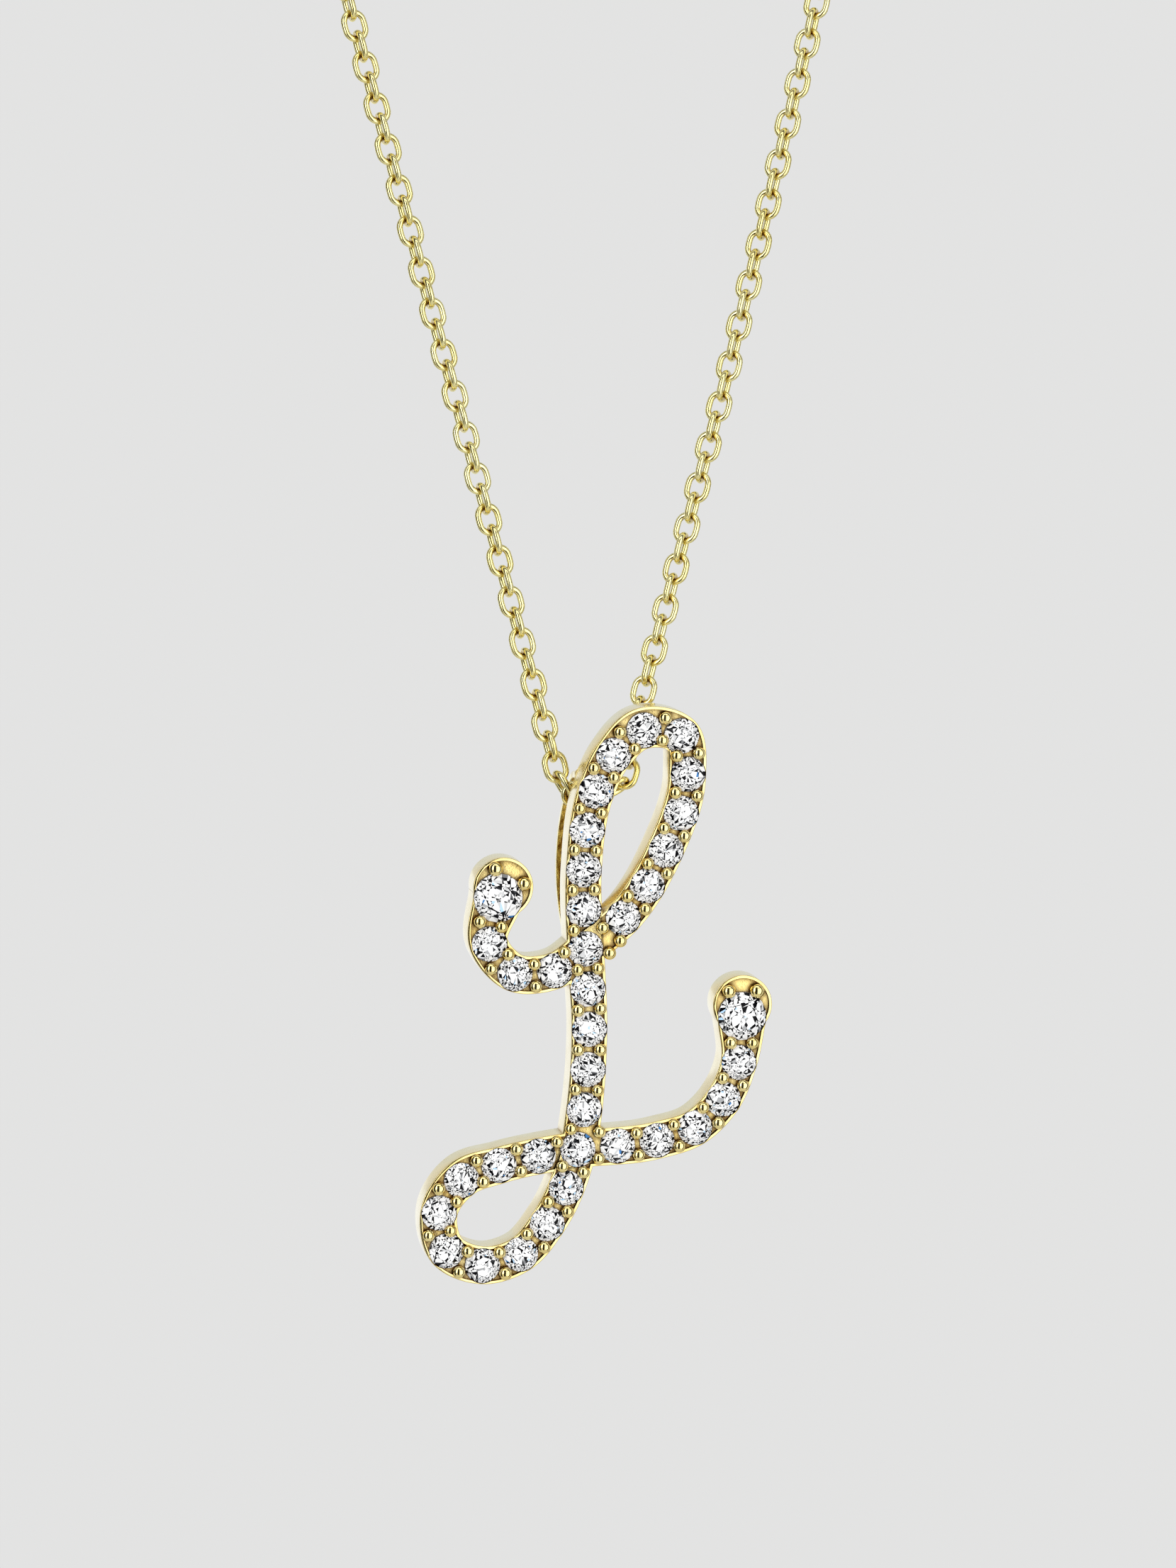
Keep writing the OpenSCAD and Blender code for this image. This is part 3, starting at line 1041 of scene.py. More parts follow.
@dataclass
class LetterFrame:
    """The cast letter: band with rim, floor, seats and light holes, and its holding beads."""

    stroke: Stroke
    hanging: Hanging
    margin: float = 0.04
    thick: float = 1.05
    rim_high: float = 0.1
    rim_wide: float = 0.1
    rim_round: float = 0.03
    plate: float = 2.2
    seat_gap: float = 0.012
    seat_mouth: float = 0.96
    seat_slope: float = 0.86
    light_hole: float = 0.7
    hole_edge: float = 0.05
    bead: float = 0.48
    cap_bead: float = 0.54
    bead_rise: float = 0.12
    bead_flat: float = 0.86
    bead_foot: float = 0.18
    bead_tuck: float = 0.062
    cap_lean: float = 0.1
    foot_flare: float = 1.12
    bead_steps: tuple[int, int] = (24, 14)
    bead_sizes: Flat = (0.97, 1.04)
    bead_seed: int = 7
    line_steps: int = 14
    round_steps: int = 56
    bevel_steps: int = 3
    facing_up: float = 0.2
    facing_aside: float = 0.1
    plates: tuple[EndPlate, EndPlate] = (
        EndPlate(0.08, 0.17, (29, 97)),
        EndPlate(0, 0.19, (61, 120)),
    )

    @property
    def half(self) -> float:
        """Half the band's usual width."""
        return self.stroke.stone / 2 + self.margin

    @property
    def floor(self) -> float:
        """Height of the floor between the stones."""
        return self.thick - self.rim_high

    def _slab(self, name: str, inset: float, low: float, high: float) -> bpy.types.Object:
        """Models the letter's whole outline as one slab.

        Args:
            name: The piece's name.
            inset: How far the outline is drawn back.
            low: Height of its underside.
            high: Height of its top.

        Returns:
            The slab, its top edges rounded where the outline isn't drawn back.
        """
        line = self.stroke.line(self.line_steps)
        parts = []
        for count, stretch in enumerate(self.stroke.stretches):
            rows = line[stretch.first * self.line_steps : stretch.last * self.line_steps + 1]
            edges = [point.edge(self.half, inset) for point in rows]
            part = Bench.strip(f"{name}_{count}", edges)
            caps = [(edges[0][0] + edges[0][1]) / 2, (edges[-1][0] + edges[-1][1]) / 2]
            self._raise(part, low, high, caps, inset == 0)
            parts.append(part)
        for count, (plate, stone) in enumerate(zip(self.plates, self.stroke.end_stones())):
            place = stone + self.plate * Vector((plate.across, plate.up, 0))
            bpy.ops.mesh.primitive_circle_add(
                vertices=self.round_steps * 2,
                radius=self.plate / 2 - inset,
                fill_type="NGON",
                location=place,
            )
            part = Bench.named(f"{name}_plate_{count}")
            self._raise(part, low, high, [], inset == 0)
            parts.append(part)
        slab = parts[0]
        for part in parts[1:]:
            Bench.combine(slab, part, Cut.ADD)
        return slab

    def _raise(
        self, part: bpy.types.Object, low: float, high: float, caps: Sequence[Vector], rounded: bool
    ) -> None:
        """Draws a flat part up to a solid and rounds its top edges.

        Args:
            part: The flat part.
            low: Height of its underside.
            high: Height of its top.
            caps: Middles of its cut ends, whose edges stay sharp.
            rounded: Whether the top edges are rounded.
        """
        with Bench.shaping(part):
            bpy.ops.mesh.select_all(action="SELECT")
            bpy.ops.transform.translate(value=(0, 0, low))
            bpy.ops.mesh.extrude_region_move(TRANSFORM_OT_translate={"value": (0, 0, high - low)})
            Bench.tidy()
            if not rounded:
                return
            ends = [Vector((cap.x, cap.y, high)) for cap in caps]

            def is_rim(edge: Any) -> bool:
                """Looks at one edge.

                Args:
                    edge: The edge.

                Returns:
                    Whether it bounds the flat top and isn't a cut end.
                """
                middle = (edge.verts[0].co + edge.verts[1].co) / 2
                flats = [face for face in edge.link_faces if face.normal.z > 1 - self.facing_aside]
                return (
                    abs(middle.z - high) < HAIR
                    and len(flats) == 1
                    and all((middle - end).length > HAIR * 10 for end in ends)
                )

            Bench.pick("edges", is_rim)
            bpy.ops.mesh.bevel(
                offset=self.rim_round,
                segments=self.bevel_steps,
                affect="EDGES",
                clamp_overlap=False,
            )

    def _seat(self, stone: float) -> bpy.types.Object:
        """Models what a stone and its light hole take out of the metal.

        Args:
            stone: The stone's diameter.

        Returns:
            The cutter, with the band's back at height 0.
        """
        radius = stone / 2
        hole = radius * self.light_hole / self.stroke.stone
        mouth = self.seat_mouth * radius
        clear = radius + self.seat_gap
        profile = [
            (0, -self.thick),
            (hole + 2 * self.hole_edge, -self.thick),
            (hole + 2 * self.hole_edge, -self.hole_edge),
            (hole, self.hole_edge),
            (hole, self.floor - (mouth - hole) * self.seat_slope),
            (mouth, self.floor),
            (clear, self.floor),
            (clear, 2 * self.thick),
            (0, 2 * self.thick),
        ]
        return Bench.lathe("seat", profile, self.round_steps)

    def band(self) -> bpy.types.Object:
        """Models the band: rounded rim, sunk floor, and a seat and a light hole for each stone.

        Returns:
            The band.
        """
        band = self._slab("letter_band", 0, 0, self.thick)
        sunk = self._slab("floor_cut", self.rim_wide, self.floor, 2 * self.thick)
        Bench.combine(band, sunk, Cut.TAKE)
        small, large = self._seat(self.stroke.stone), self._seat(self.stroke.end_stone)
        places = [(small, p) for p in self.stroke.stones()]
        places += [(large, p) for p in self.stroke.end_stones()]
        for seat, place in places:
            cutter = Bench.copy(seat, "seat_cut", Matrix.Translation(place))
            Bench.combine(band, cutter, Cut.TAKE)
        bpy.data.objects.remove(small)
        bpy.data.objects.remove(large)
        return Bench.join([band], "letter_band")

    def beads(self) -> bpy.types.Object:
        """Models one holding bead and copies it to every gap and end stone.

        Returns:
            All the beads as one piece.
        """
        radius = self.bead / 2
        around, rings = self.bead_steps
        bpy.ops.mesh.primitive_uv_sphere_add(segments=around, ring_count=rings, radius=radius)
        bead = Bench.named("bead")
        foot = -self.bead_foot
        with Bench.shaping(bead):
            bpy.ops.mesh.select_all(action="SELECT")
            bpy.ops.mesh.bisect(
                plane_co=(0, 0, foot), plane_no=(0, 0, -1), use_fill=True, clear_outer=True
            )
            Bench.pick("verts", lambda v: v.co.z < foot + HAIR)
            bpy.ops.transform.resize(value=(self.foot_flare, self.foot_flare, 1))
            Bench.tidy()
            bpy.ops.transform.resize(value=(1, 1, self.bead_flat), center_override=(0, 0, 0))
        draw = random.Random(self.bead_seed)
        height = self.floor + self.bead_rise
        reach = self.half - self.rim_wide - radius + self.bead_tuck
        sizes = [(place, 1.0) for place in self.stroke.beads(reach)]
        away = self.stroke.end_stone / 2 + self.cap_bead / 2 - self.cap_lean
        for plate, stone in zip(self.plates, self.stroke.end_stones()):
            for degrees in plate.beads:
                turn = math.radians(degrees)
                place = stone + away * Vector((math.cos(turn), math.sin(turn), 0))
                sizes.append((place, self.cap_bead / self.bead))
        copies = []
        for count, (place, size) in enumerate(sizes):
            size *= draw.uniform(*self.bead_sizes)
            at = Matrix.Translation(Vector((place.x, place.y, height)))
            lean = Matrix.Rotation(draw.uniform(0, FULL_TURN), 4, "Z")
            copies.append(Bench.copy(bead, f"bead_{count}", at @ lean @ Matrix.Scale(size, 4)))
        bpy.data.objects.remove(bead)
        return Bench.join(copies, "holding_beads")

    def dress(self, band: bpy.types.Object, beads: bpy.types.Object) -> None:
        """Gives the floor and seats their cast finish, darker with painted shade, the walls theirs,
        paler with painted sheen, and the rest its polish.

        Args:
            band: The band.
            beads: The beads.
        """
        Bench.coat(band, POLISHED.material(), SHADED_FLOOR_GOLD.material(), WALL_GOLD.material())
        low, high = self.hole_edge + HAIR, self.floor + HAIR

        def is_cast(face: Any) -> bool:
            """Whether a face belongs to the floor or to a seat."""
            at = face.calc_center_median()
            return low < at.z < high and (face.normal.z > self.facing_up or self._in_seat(at))

        def is_wall(face: Any) -> bool:
            """Looks at one face.

            Args:
                face: The face.

            Returns:
                Whether it belongs to the letter's side walls.
            """
            at = face.calc_center_median()
            aside = at.z < self.floor and abs(face.normal.z) < self.facing_aside
            return aside and not self._in_seat(at)

        with Bench.shaping(band):
            # Floor and seats get the darker gold of painted shade.
            Bench.dab(band, 1, is_cast)
            # The side walls get the paler gold of painted sheen.
            Bench.dab(band, 2, is_wall)
        Bench.coat(beads, BEAD_GOLD.material())
        Bench.smooth(band, 32)
        Bench.smooth(beads, 60)

    def _in_seat(self, place: Vector) -> bool:
        """Looks for a stone over a place.

        Args:
            place: The place.

        Returns:
            Whether it lies in the light hole or seat of a stone.
        """
        flat = Vector((place.x, place.y, 0))
        seats = [(stone, self.stroke.stone) for stone in self.stroke.stones()]
        seats += [(stone, self.stroke.end_stone) for stone in self.stroke.end_stones()]
        return any((flat - stone).length < wide / 2 * self.seat_mouth for stone, wide in seats)

    def build(self) -> None:
        """Models, dresses and lays the letter in place of its CAD node."""
        band, beads = self.band(), self.beads()
        self.dress(band, beads)
        for piece in (band, beads):
            Bench.hand_over(piece, self.hanging.matrix(), Body.PENDANT, Slot.GOLD, "letter_frame")


@dataclass
class Bail:
    """The strap soldered behind the stem, which the chain runs through.

    It is a little narrower than the CAD solid, so that it clears the links when it swings up.
    """

    hanging: Hanging
    thick: float = 0.25
    wide: float = 1.02
    tip_wide: float = 0.36
    bow: float = 2.2
    drop: float = 6.1
    head: float = 0.725
    drop_behind: float = 0.6
    steps: int = 8
    edge_round: float = 0.09
    bevel_steps: int = 3
    sharp_edge: float = 50.0
    facing_in: float = 0.5
    top: Table = ((-0.12, -1.3), (0.22, -1.18))
    arc: tuple[float, ...] = (85, 110, 130)
    route: Table = (
        (0.66, -0.02),
        (0.81, 0.1),
        (0.94, 0.25),
        (0.99, 0.38),
        (1, 0.5),
        (0.93, 0.66),
        (0.73, 0.81),
        (0.39, 0.93),
        (-0.04, 1),
    )

    def middle(self) -> list[Flat]:
        """The strap's middle line from the side.

        Returns:
            Height above the letter's back and place above the hinge of each point.
        """
        points = [(-z * self.head, -y * self.head) for z, y in self.top]
        for degrees in self.arc:
            turn = math.radians(degrees)
            away = self.head * math.cos(turn) - self.drop_behind
            points.append((away, self.head * math.sin(turn)))
        points += [(-z * self.bow, -y * self.drop) for z, y in self.route]
        return [(p[0], p[1]) for p in smooth_line(points, [self.steps] * len(points), 2)]

    def width_at(self, up: float, high: float, low: float) -> float:
        """The strap's width, which swells like a leaf.

        Args:
            up: A height on the strap.
            high: Height of its upper end.
            low: Height of its lower end.

        Returns:
            The width there.
        """
        reach = (high - low) / 2
        bulge = (self.wide - self.tip_wide) / 2
        leaf = (reach**2 + bulge**2) / (2 * bulge)
        off = min(abs(up - (high + low) / 2), reach)
        return 2 * (math.sqrt(leaf**2 - off**2) - leaf + self.wide / 2)

    def build(self) -> None:
        """Draws an edge out along the strap's line, gives it thickness and rounds it."""
        line = self.middle()
        high, low = line[0][1] + self.thick / 2, line[-1][1] - self.thick / 2
        centre = self.hanging.hinge
        places = [Vector((centre.x, centre.y + up, height)) for height, up in line]
        bpy.ops.mesh.primitive_plane_add(size=1)
        strap = Bench.named("bail_strap")
        with Bench.shaping(strap):
            Bench.pick("verts", lambda v: v.co.y > 0)
            bpy.ops.mesh.delete(type="VERT")
            bpy.ops.mesh.select_all(action="SELECT")
            old, wide = Vector((0, -0.5, 0)), 1.0
            for count, (new, (_, up)) in enumerate(zip(places, line)):
                if count == 0:
                    bpy.ops.transform.translate(value=new - old)
                else:
                    bpy.ops.mesh.extrude_region_move(TRANSFORM_OT_translate={"value": new - old})
                now = self.width_at(up, high, low)
                bpy.ops.transform.resize(value=(now / wide, 1, 1), center_override=tuple(new))
                old, wide = new, now
            Bench.tidy()
        Bench.finish_modifier(
            strap, "SOLIDIFY", thickness=self.thick, offset=0, use_even_offset=True
        )
        with Bench.shaping(strap):
            Bench.tidy()
        Bench.finish_modifier(
            strap,
            "BEVEL",
            width=self.edge_round,
            segments=self.bevel_steps,
            limit_method="ANGLE",
            angle_limit=math.radians(self.sharp_edge),
        )
        Bench.coat(strap, STRAP_GOLD.material(), STRAP_INSIDE_SHADE.material())
        # Faces turned to the letter's back take the dark gold of painted shade.
        inside = centre.y - self.head / 2
        with Bench.shaping(strap):
            Bench.dab(
                strap,
                1,
                lambda f: f.normal.z > self.facing_in and f.calc_center_median().y < inside,
            )
        Bench.smooth(strap, 40)
        Bench.hand_over(strap, self.hanging.matrix(), Body.PENDANT, Slot.GOLD, "letter_frame")


@dataclass
class Brilliant:
    """A round brilliant, cut plane by plane, and the small mirrors of painted reflection in its
    crown.

    Sizes are shares of the diameter. The mirrors lie between score lines, which run in pairs as
    rays through the middle and as chords. The attribute SPARK holds what each mirror shows.
    """

    SPARK = "spark"

    sides: int = 8
    table: float = 0.57
    crown: float = 0.15
    girdle: float = 0.03
    pavilion: float = 0.43
    star: float = 0.3825
    lower: float = 0.11
    rays: int = 6
    ray_play: float = 0.16
    chords: tuple[tuple[int, float], ...] = ((2, 0.3), (4, 0.46), (5, 0.62), (6, 0.78))
    chord_play: float = 0.09
    turn_play: float = 0.3
    sliver_wide: float = 0.1
    sliver_play: Flat = (0.7, 1.4)
    sliver_lean: float = 0.06
    sliver_shape: float = 0.8
    flake: float = 0.006
    dark_slivers: float = 0.9
    dark_middle: float = 0.4
    clear_middle: float = 0.55
    dark_below: float = 0.3
    dark_fall: Flat = (0.24, 4)
    light_top: float = 0.98
    light_fall: Flat = (0.66, 3.2)
    fire: float = 0.012
    fire_range: Flat = (0.982, 0.999)
    facing_up: float = 0.2

    def _point(self, share: float, degrees: float, height: float) -> Vector:
        """A point at a radius as a share of the diameter, in a direction and at a height."""
        turn = math.radians(degrees)
        return Vector((share * math.cos(turn), share * math.sin(turn), height))

    def planes(self) -> list[tuple[Vector, Vector, Vector]]:
        """The planes that the stone is cut along.

        Returns:
            Three points of each facet's plane, for a diameter of 1.
        """
        eighth = 360 / self.sides
        half = math.cos(math.radians(eighth / 2))
        top = self.girdle + self.crown
        star_z = self.girdle + self.crown * (1 - 2 * self.star * half) / (1 - self.table)
        lower_z = -self.pavilion * (1 - 2 * self.lower * half)
        culet = Vector((0, 0, -self.pavilion))
        cuts = []
        for k in range(self.sides):
            a = eighth * k
            corner = self._point(self.table / 2, a, top)
            after = self._point(self.table / 2, a + eighth, top)
            star = self._point(self.star, a + eighth / 2, star_z)
            star_before = self._point(self.star, a - eighth / 2, star_z)
            deep = self._point(self.lower, a + eighth / 2, lower_z)
            deep_before = self._point(self.lower, a - eighth / 2, lower_z)
            rim = [self._point(0.5, a + step * eighth / 2, self.girdle) for step in range(3)]
            under = [self._point(0.5, a + step * eighth / 2, 0) for step in range(3)]
            cuts += [(corner, star, star_before), (corner, after, star), (culet, deep, deep_before)]
            cuts += [(star, rim[0], rim[1]), (star, rim[1], rim[2])]
            cuts += [(deep, under[0], under[1]), (deep, under[1], under[2])]
        return cuts

    def cut(self, diameter: float, seed: int) -> bpy.types.Object:
        """Cuts a stone and scores its crown into small mirrors.

        Args:
            diameter: Its diameter in millimetres.
            seed: Starts the draw of the mirrors.

        Returns:
            The stone, its girdle's lower edge at height 0.
        """
        tall = self.pavilion + self.girdle + self.crown
        bpy.ops.mesh.primitive_cylinder_add(
            vertices=2 * self.sides,
            radius=0.5,
            depth=tall,
            location=(0, 0, tall / 2 - self.pavilion),
        )
        stone = Bench.named("brilliant")
        bpy.ops.object.transform_apply(location=True)
        centre = Vector((0, 0, self.girdle / 3))
        with Bench.shaping(stone):
            for a, b, c in self.planes():
                out = (b - a).cross(c - a).normalized()
                if out.dot(a - centre) < 0:
                    out = -out
                bpy.ops.mesh.select_all(action="SELECT")
                bpy.ops.mesh.bisect(plane_co=a, plane_no=out, use_fill=True, clear_outer=True)
            Bench.tidy()
            draw = random.Random(seed)
            for turn, off in self._scores(draw):
                side = Vector((math.cos(turn), math.sin(turn), 0))
                Bench.pick("faces", lambda f: f.normal.z > self.facing_up)
                bpy.ops.mesh.bisect(plane_co=side * off / 2, plane_no=side)
            bpy.ops.mesh.select_all(action="SELECT")
            bpy.ops.transform.resize(value=(diameter,) * 3, center_override=(0, 0, 0))
        return stone

    def _scores(self, draw: random.Random) -> list[tuple[float, float]]:
        """Lays out the score lines.

        Args:
            draw: Draws how far each one strays.

        Returns:
            The direction of each line and its distance from the middle, as a share of the radius.
        """

        def stray(play: float) -> float:
            """Draws a distance of up to a play to either side."""
            return draw.uniform(-play, play)

        middles = [
            (math.pi * (k + stray(self.turn_play)) / self.rays, stray(self.ray_play))
            for k in range(self.rays)
        ]
        for count, share in self.chords:
            start = draw.uniform(0, FULL_TURN)
            for k in range(count):
                turn = start + FULL_TURN * (k + stray(self.turn_play)) / count
                middles.append((turn, share + stray(self.chord_play)))
        lines = []
        for turn, off in middles:
            lean = stray(self.sliver_lean)
            wide = self.sliver_wide * draw.uniform(*self.sliver_play)
            lines += [(turn - lean, off - wide / 2), (turn + lean, off + wide / 2)]
        return lines

    def light(self, stone: bpy.types.Object, draw: random.Random) -> None:
        """Paints what each small mirror reflects: thin slivers are often dark, and wide ones light.

        Args:
            stone: The stone.
            draw: Draws the chances and the shades.
        """
        mesh = stone.data
        shine = mesh.attributes.get(self.SPARK) or mesh.attributes.new(self.SPARK, "FLOAT", "FACE")
        values = []
        middle = sum((vertex.co for vertex in mesh.vertices), Vector()) / len(mesh.vertices)
        reach = max((vertex.co - middle).xy.length for vertex in mesh.vertices)
        for face in mesh.polygons:
            corners = [mesh.vertices[i].co for i in face.vertices]
            share = min((face.center - middle).xy.length / reach / self.clear_middle, 1)
            around = sum((a - b).length for a, b in zip(corners, corners[1:] + corners[:1]))
            is_sliver = (
                face.area / (around / 4) ** 2 < self.sliver_shape
                and face.area < self.flake * math.pi * reach**2
            )
            dark = self.dark_below
            if face.normal.z > 0:
                dark = self.dark_slivers * (self.dark_middle + (1 - self.dark_middle) * share)
            chance = draw.random()
            if chance < self.fire:
                value = draw.uniform(*self.fire_range)
            elif is_sliver and chance < dark:
                span, power = self.dark_fall
                value = span * draw.random() ** power
            else:
                span, power = self.light_fall
                value = self.light_top - span * draw.random() ** power
            values.append(value)
        shine.data.foreach_set("value", values)


@dataclass
class Stones:
    """All the stones of the letter, each in its seat."""

    stroke: Stroke
    hanging: Hanging
    girdle_height: float = 0.98
    turn: float = 37.0
    small_cuts: int = 4
    small_seed: int = 20
    large_seed: int = 40
    light_seed: int = 11
    brilliant: Brilliant = field(default_factory=Brilliant)

    def build(self) -> None:
        """Cuts a few stones, copies them to their seats and paints each one's reflections anew."""
        finish = PaintedBrilliance().material()
        draw = random.Random(self.light_seed)
        seeds = range(self.small_seed, self.small_seed + self.small_cuts)
        small = [self.brilliant.cut(self.stroke.stone, seed) for seed in seeds]
        seeds = range(self.large_seed, self.large_seed + 2)
        large = [self.brilliant.cut(self.stroke.end_stone, seed) for seed in seeds]
        rows = [
            (small[i % self.small_cuts], place, i, f"stone_{i + 1:02d}")
            for i, place in enumerate(self.stroke.stones())
        ]
        names = ("end_stone_left", "end_stone_right")
        rows += [
            (large[i], place, i, name)
            for i, (place, name) in enumerate(zip(self.stroke.end_stones(), names))
        ]
        for cut, place, steps, node in rows:
            at = Matrix.Translation(Vector((place.x, place.y, self.girdle_height)))
            at = at @ Matrix.Rotation(math.radians(steps * self.turn), 4, "Z")
            stone = Bench.copy(cut, node.replace("stone", "brilliant"), at)
            self.brilliant.light(stone, draw)
            Bench.coat(stone, finish)
            Bench.hand_over(stone, self.hanging.matrix(), Body.PENDANT, Slot.STONE, node)
        for cut in small + large:
            bpy.data.objects.remove(cut)


# ---------------------------------------------------------------------------------------------
# The necklace
# ---------------------------------------------------------------------------------------------


@dataclass
class CableChain:
    """The cable chain, link by link, close to the CAD tube's middle line. Sizes in millimetres.

    Beside the pendant the links are fine, and their places and rolls follow the photograph. Their
    line strays up to 0.21 mm from the tube's there, and keeps clear of the swung-up strap.
    """

    tube: float = 0.9
    loop_wide: float = 106
    loop_deep: float = 102
    loop_drop: float = 127
    lean: float = 0.07
    end: float = 3.95
    first_link: float = 3.685
    wire: float = 0.232
    link_wide: float = 1.01
    link_long: float = 1.245
    broad_roll: float = 24.0
    narrow_roll: float = -71.0
    left_mark: float = -126.02
    right_mark: float = -126.28
    bend_links: int = 5
    fine_reach: float = 34.0
    fine_steps: tuple[int, int] = (28, 12)
    plain_steps: tuple[int, int] = (14, 5)
    facing_start: int = 12
    view: Vector = field(default_factory=lambda: Vector((-0.19081, -0.98163, 0)))
    at_bail: Table = (
        (-2.22, 3.67, 1),
        (-1.71, 1.67, 2),
        (-1.535, 0.89, 2),
        (-1.26, 0.24, 2),
        (-0.95, -0.08, 2),
        (-0.5, -0.09, 2),
        (0, 0, 1),
        (0.69, 0.09, 2),
        (1.27, 0.47, 2),
        (1.46, 1.06, 2),
        (1.56, 1.7, 2),
        (1.73, 2.59, 2),
        (1.975, 3.67, 1),
    )
    run: Table = (
        (0.096, 0.99, 0.882, 1),
        (0.17, 0.979, 0.764, 4),
        (0.35, 0.94, 0.58, 4),
        (0.57, 0.86, 0.4, 4),
        (0.77, 0.745, 0.25, 4),
        (0.925, 0.6, 0.145, 4),
        (1, 0.43, 0.08, 4),
        (0.94, 0.265, 0.035, 4),
        (0.735, 0.12, 0.01, 4),
        (0.415, 0.03, 0, 4),
    )

    def line(self) -> list[Vector]:
        """The chain's middle line, from the clasp's left eye round to its right eye.

        Returns:
            The points of the line.
        """
        bend = []
        for x, up, n in self.at_bail:
            rise = up * self.tube
            forward = -self.loop_deep + self.lean * up * self.tube
            bend.append((x * self.tube, forward, -self.loop_drop + rise, n))
        right = [
            (x * self.loop_wide / 2, -y * self.loop_deep, -z * self.loop_drop, n)
            for x, y, z, n in self.run
        ]
        left = [(-p[0], p[1], p[2], right[max(i - 1, 0)][3]) for i, p in enumerate(right)][::-1]
        marks = [(-self.end, 0, 0, 3), *left, *bend, *right, (self.end, 0, 0, 0)]
        points = smooth_line([m[:3] for m in marks], [int(m[3]) for m in marks], 3)
        return [Vector(point) for point in points]

    def joints(self) -> tuple[list[Vector], int]:
        """Spaces the links along the line.

        Returns:
            The points where link meets link, and the number of the broad link at the left mark.
            The links are spaced so that one is there and another broad one at the right mark.
        """
        line = self.line()
        more = self.end - self.first_link + self.link_long / 2 - self.wire
        start = line[0] + (line[0] - line[1]).normalized() * more
        stop = line[-1] + (line[-1] - line[-2]).normalized() * more
        line = [start, *line, stop]
        run = [0.0]
        for a, b in zip(line, line[1:]):
            run.append(run[-1] + (b - a).length)
        passes = []
        for height, hit in ((self.left_mark, 0), (self.right_mark, -1)):
            spans = [
                k
                for k, (a, b) in enumerate(zip(line, line[1:]))
                if (a.z - height) * (b.z - height) <= 0
            ]
            k = spans[hit]
            share = (height - line[k].z) / (line[k + 1].z - line[k].z)
            passes.append(run[k] + share * (run[k + 1] - run[k]))
        left, right = passes
        pitch = self.link_long - 2 * self.wire
        before, after = round(left / pitch), round((run[-1] - right) / pitch)
        lengths = [left * k / (before + 0.5) for k in range(before + 1)]
        inner = range(self.bend_links)
        lengths += [left + (right - left) * (k + 0.5) / self.bend_links for k in inner]
        lengths += [right + (run[-1] - right) * (k + 0.5) / (after + 0.5) for k in range(after + 1)]
        points, k = [], 0
        for length in lengths:
            while k < len(run) - 2 and run[k + 1] < length:
                k += 1
            points.append(line[k].lerp(line[k + 1], (length - run[k]) / (run[k + 1] - run[k])))
        return points, before

    def roll(self, count: int, mark: int) -> float:
        """How far a link is rolled from facing the viewer.

        Args:
            count: The link's number from the clasp's left eye.
            mark: The number of the broad link at the left mark.

        Returns:
            The angle in radians. Broad and narrow links take turns, and the links in the bend
            make up the difference between the two runs.
        """
        right = mark + self.bend_links
        if mark < count < right:
            share = (count - mark - 1) / (self.bend_links - 2)
            turn = self.narrow_roll - 360 * share
        else:
            steps = mark - count if count <= mark else count - right
            turn = self.narrow_roll if steps % 2 else self.broad_roll
        return math.radians(turn)

    def facings(self, joints: Sequence[Vector]) -> list[tuple[Vector, Vector, Vector]]:
        """The middle, direction and facing of each link before its own roll.

        Args:
            joints: The points where link meets link.

        Returns:
            One row to a link. The facing starts towards the viewer beside the pendant, and is
            carried along from there without twist.
        """
        middles = [(a + b) / 2 for a, b in zip(joints, joints[1:])]
        ways = [(b - a).normalized() for a, b in zip(joints, joints[1:])]
        low = min(range(len(middles)), key=lambda i: middles[i].z)
        faces: list[Vector] = [Vector()] * len(middles)
        for side in (-1, 1):
            start = low + self.facing_start * side
            faces[start] = (self.view - ways[start] * self.view.dot(ways[start])).normalized()
            for step in (-1, 1):
                stop = low if step == -side else (len(middles) if side > 0 else -1)
                now = start
                while now + step != stop and 0 <= now + step < len(middles):
                    after = now + step
                    kept = faces[now] - ways[after] * faces[now].dot(ways[after])
                    faces[after] = kept.normalized()
                    now = after
        if faces[low].length == 0:
            faces[low] = (self.view - ways[low] * self.view.dot(ways[low])).normalized()
        return list(zip(middles, ways, faces))

    def link(self, name: str, round_steps: int, wire_steps: int) -> bpy.types.Object:
        """Models one oval link, lying flat and long in X.

        Args:
            name: The piece's name.
            round_steps: How many steps the link has along its wire.
            wire_steps: How many steps it has round its wire.

        Returns:
            The link.
        """
        bpy.ops.mesh.primitive_torus_add(
            major_radius=(self.link_wide - self.wire) / 2,
            minor_radius=self.wire / 2,
            major_segments=round_steps,
            minor_segments=wire_steps,
        )
        link = Bench.named(name)
        stretch = (self.link_long - self.link_wide) / 2
        with Bench.shaping(link):
            for side in (-1, 1):
                Bench.pick("verts", lambda v: v.co.x * side > HAIR)
                bpy.ops.transform.translate(value=(side * stretch, 0, 0))
            Bench.tidy()
        return link

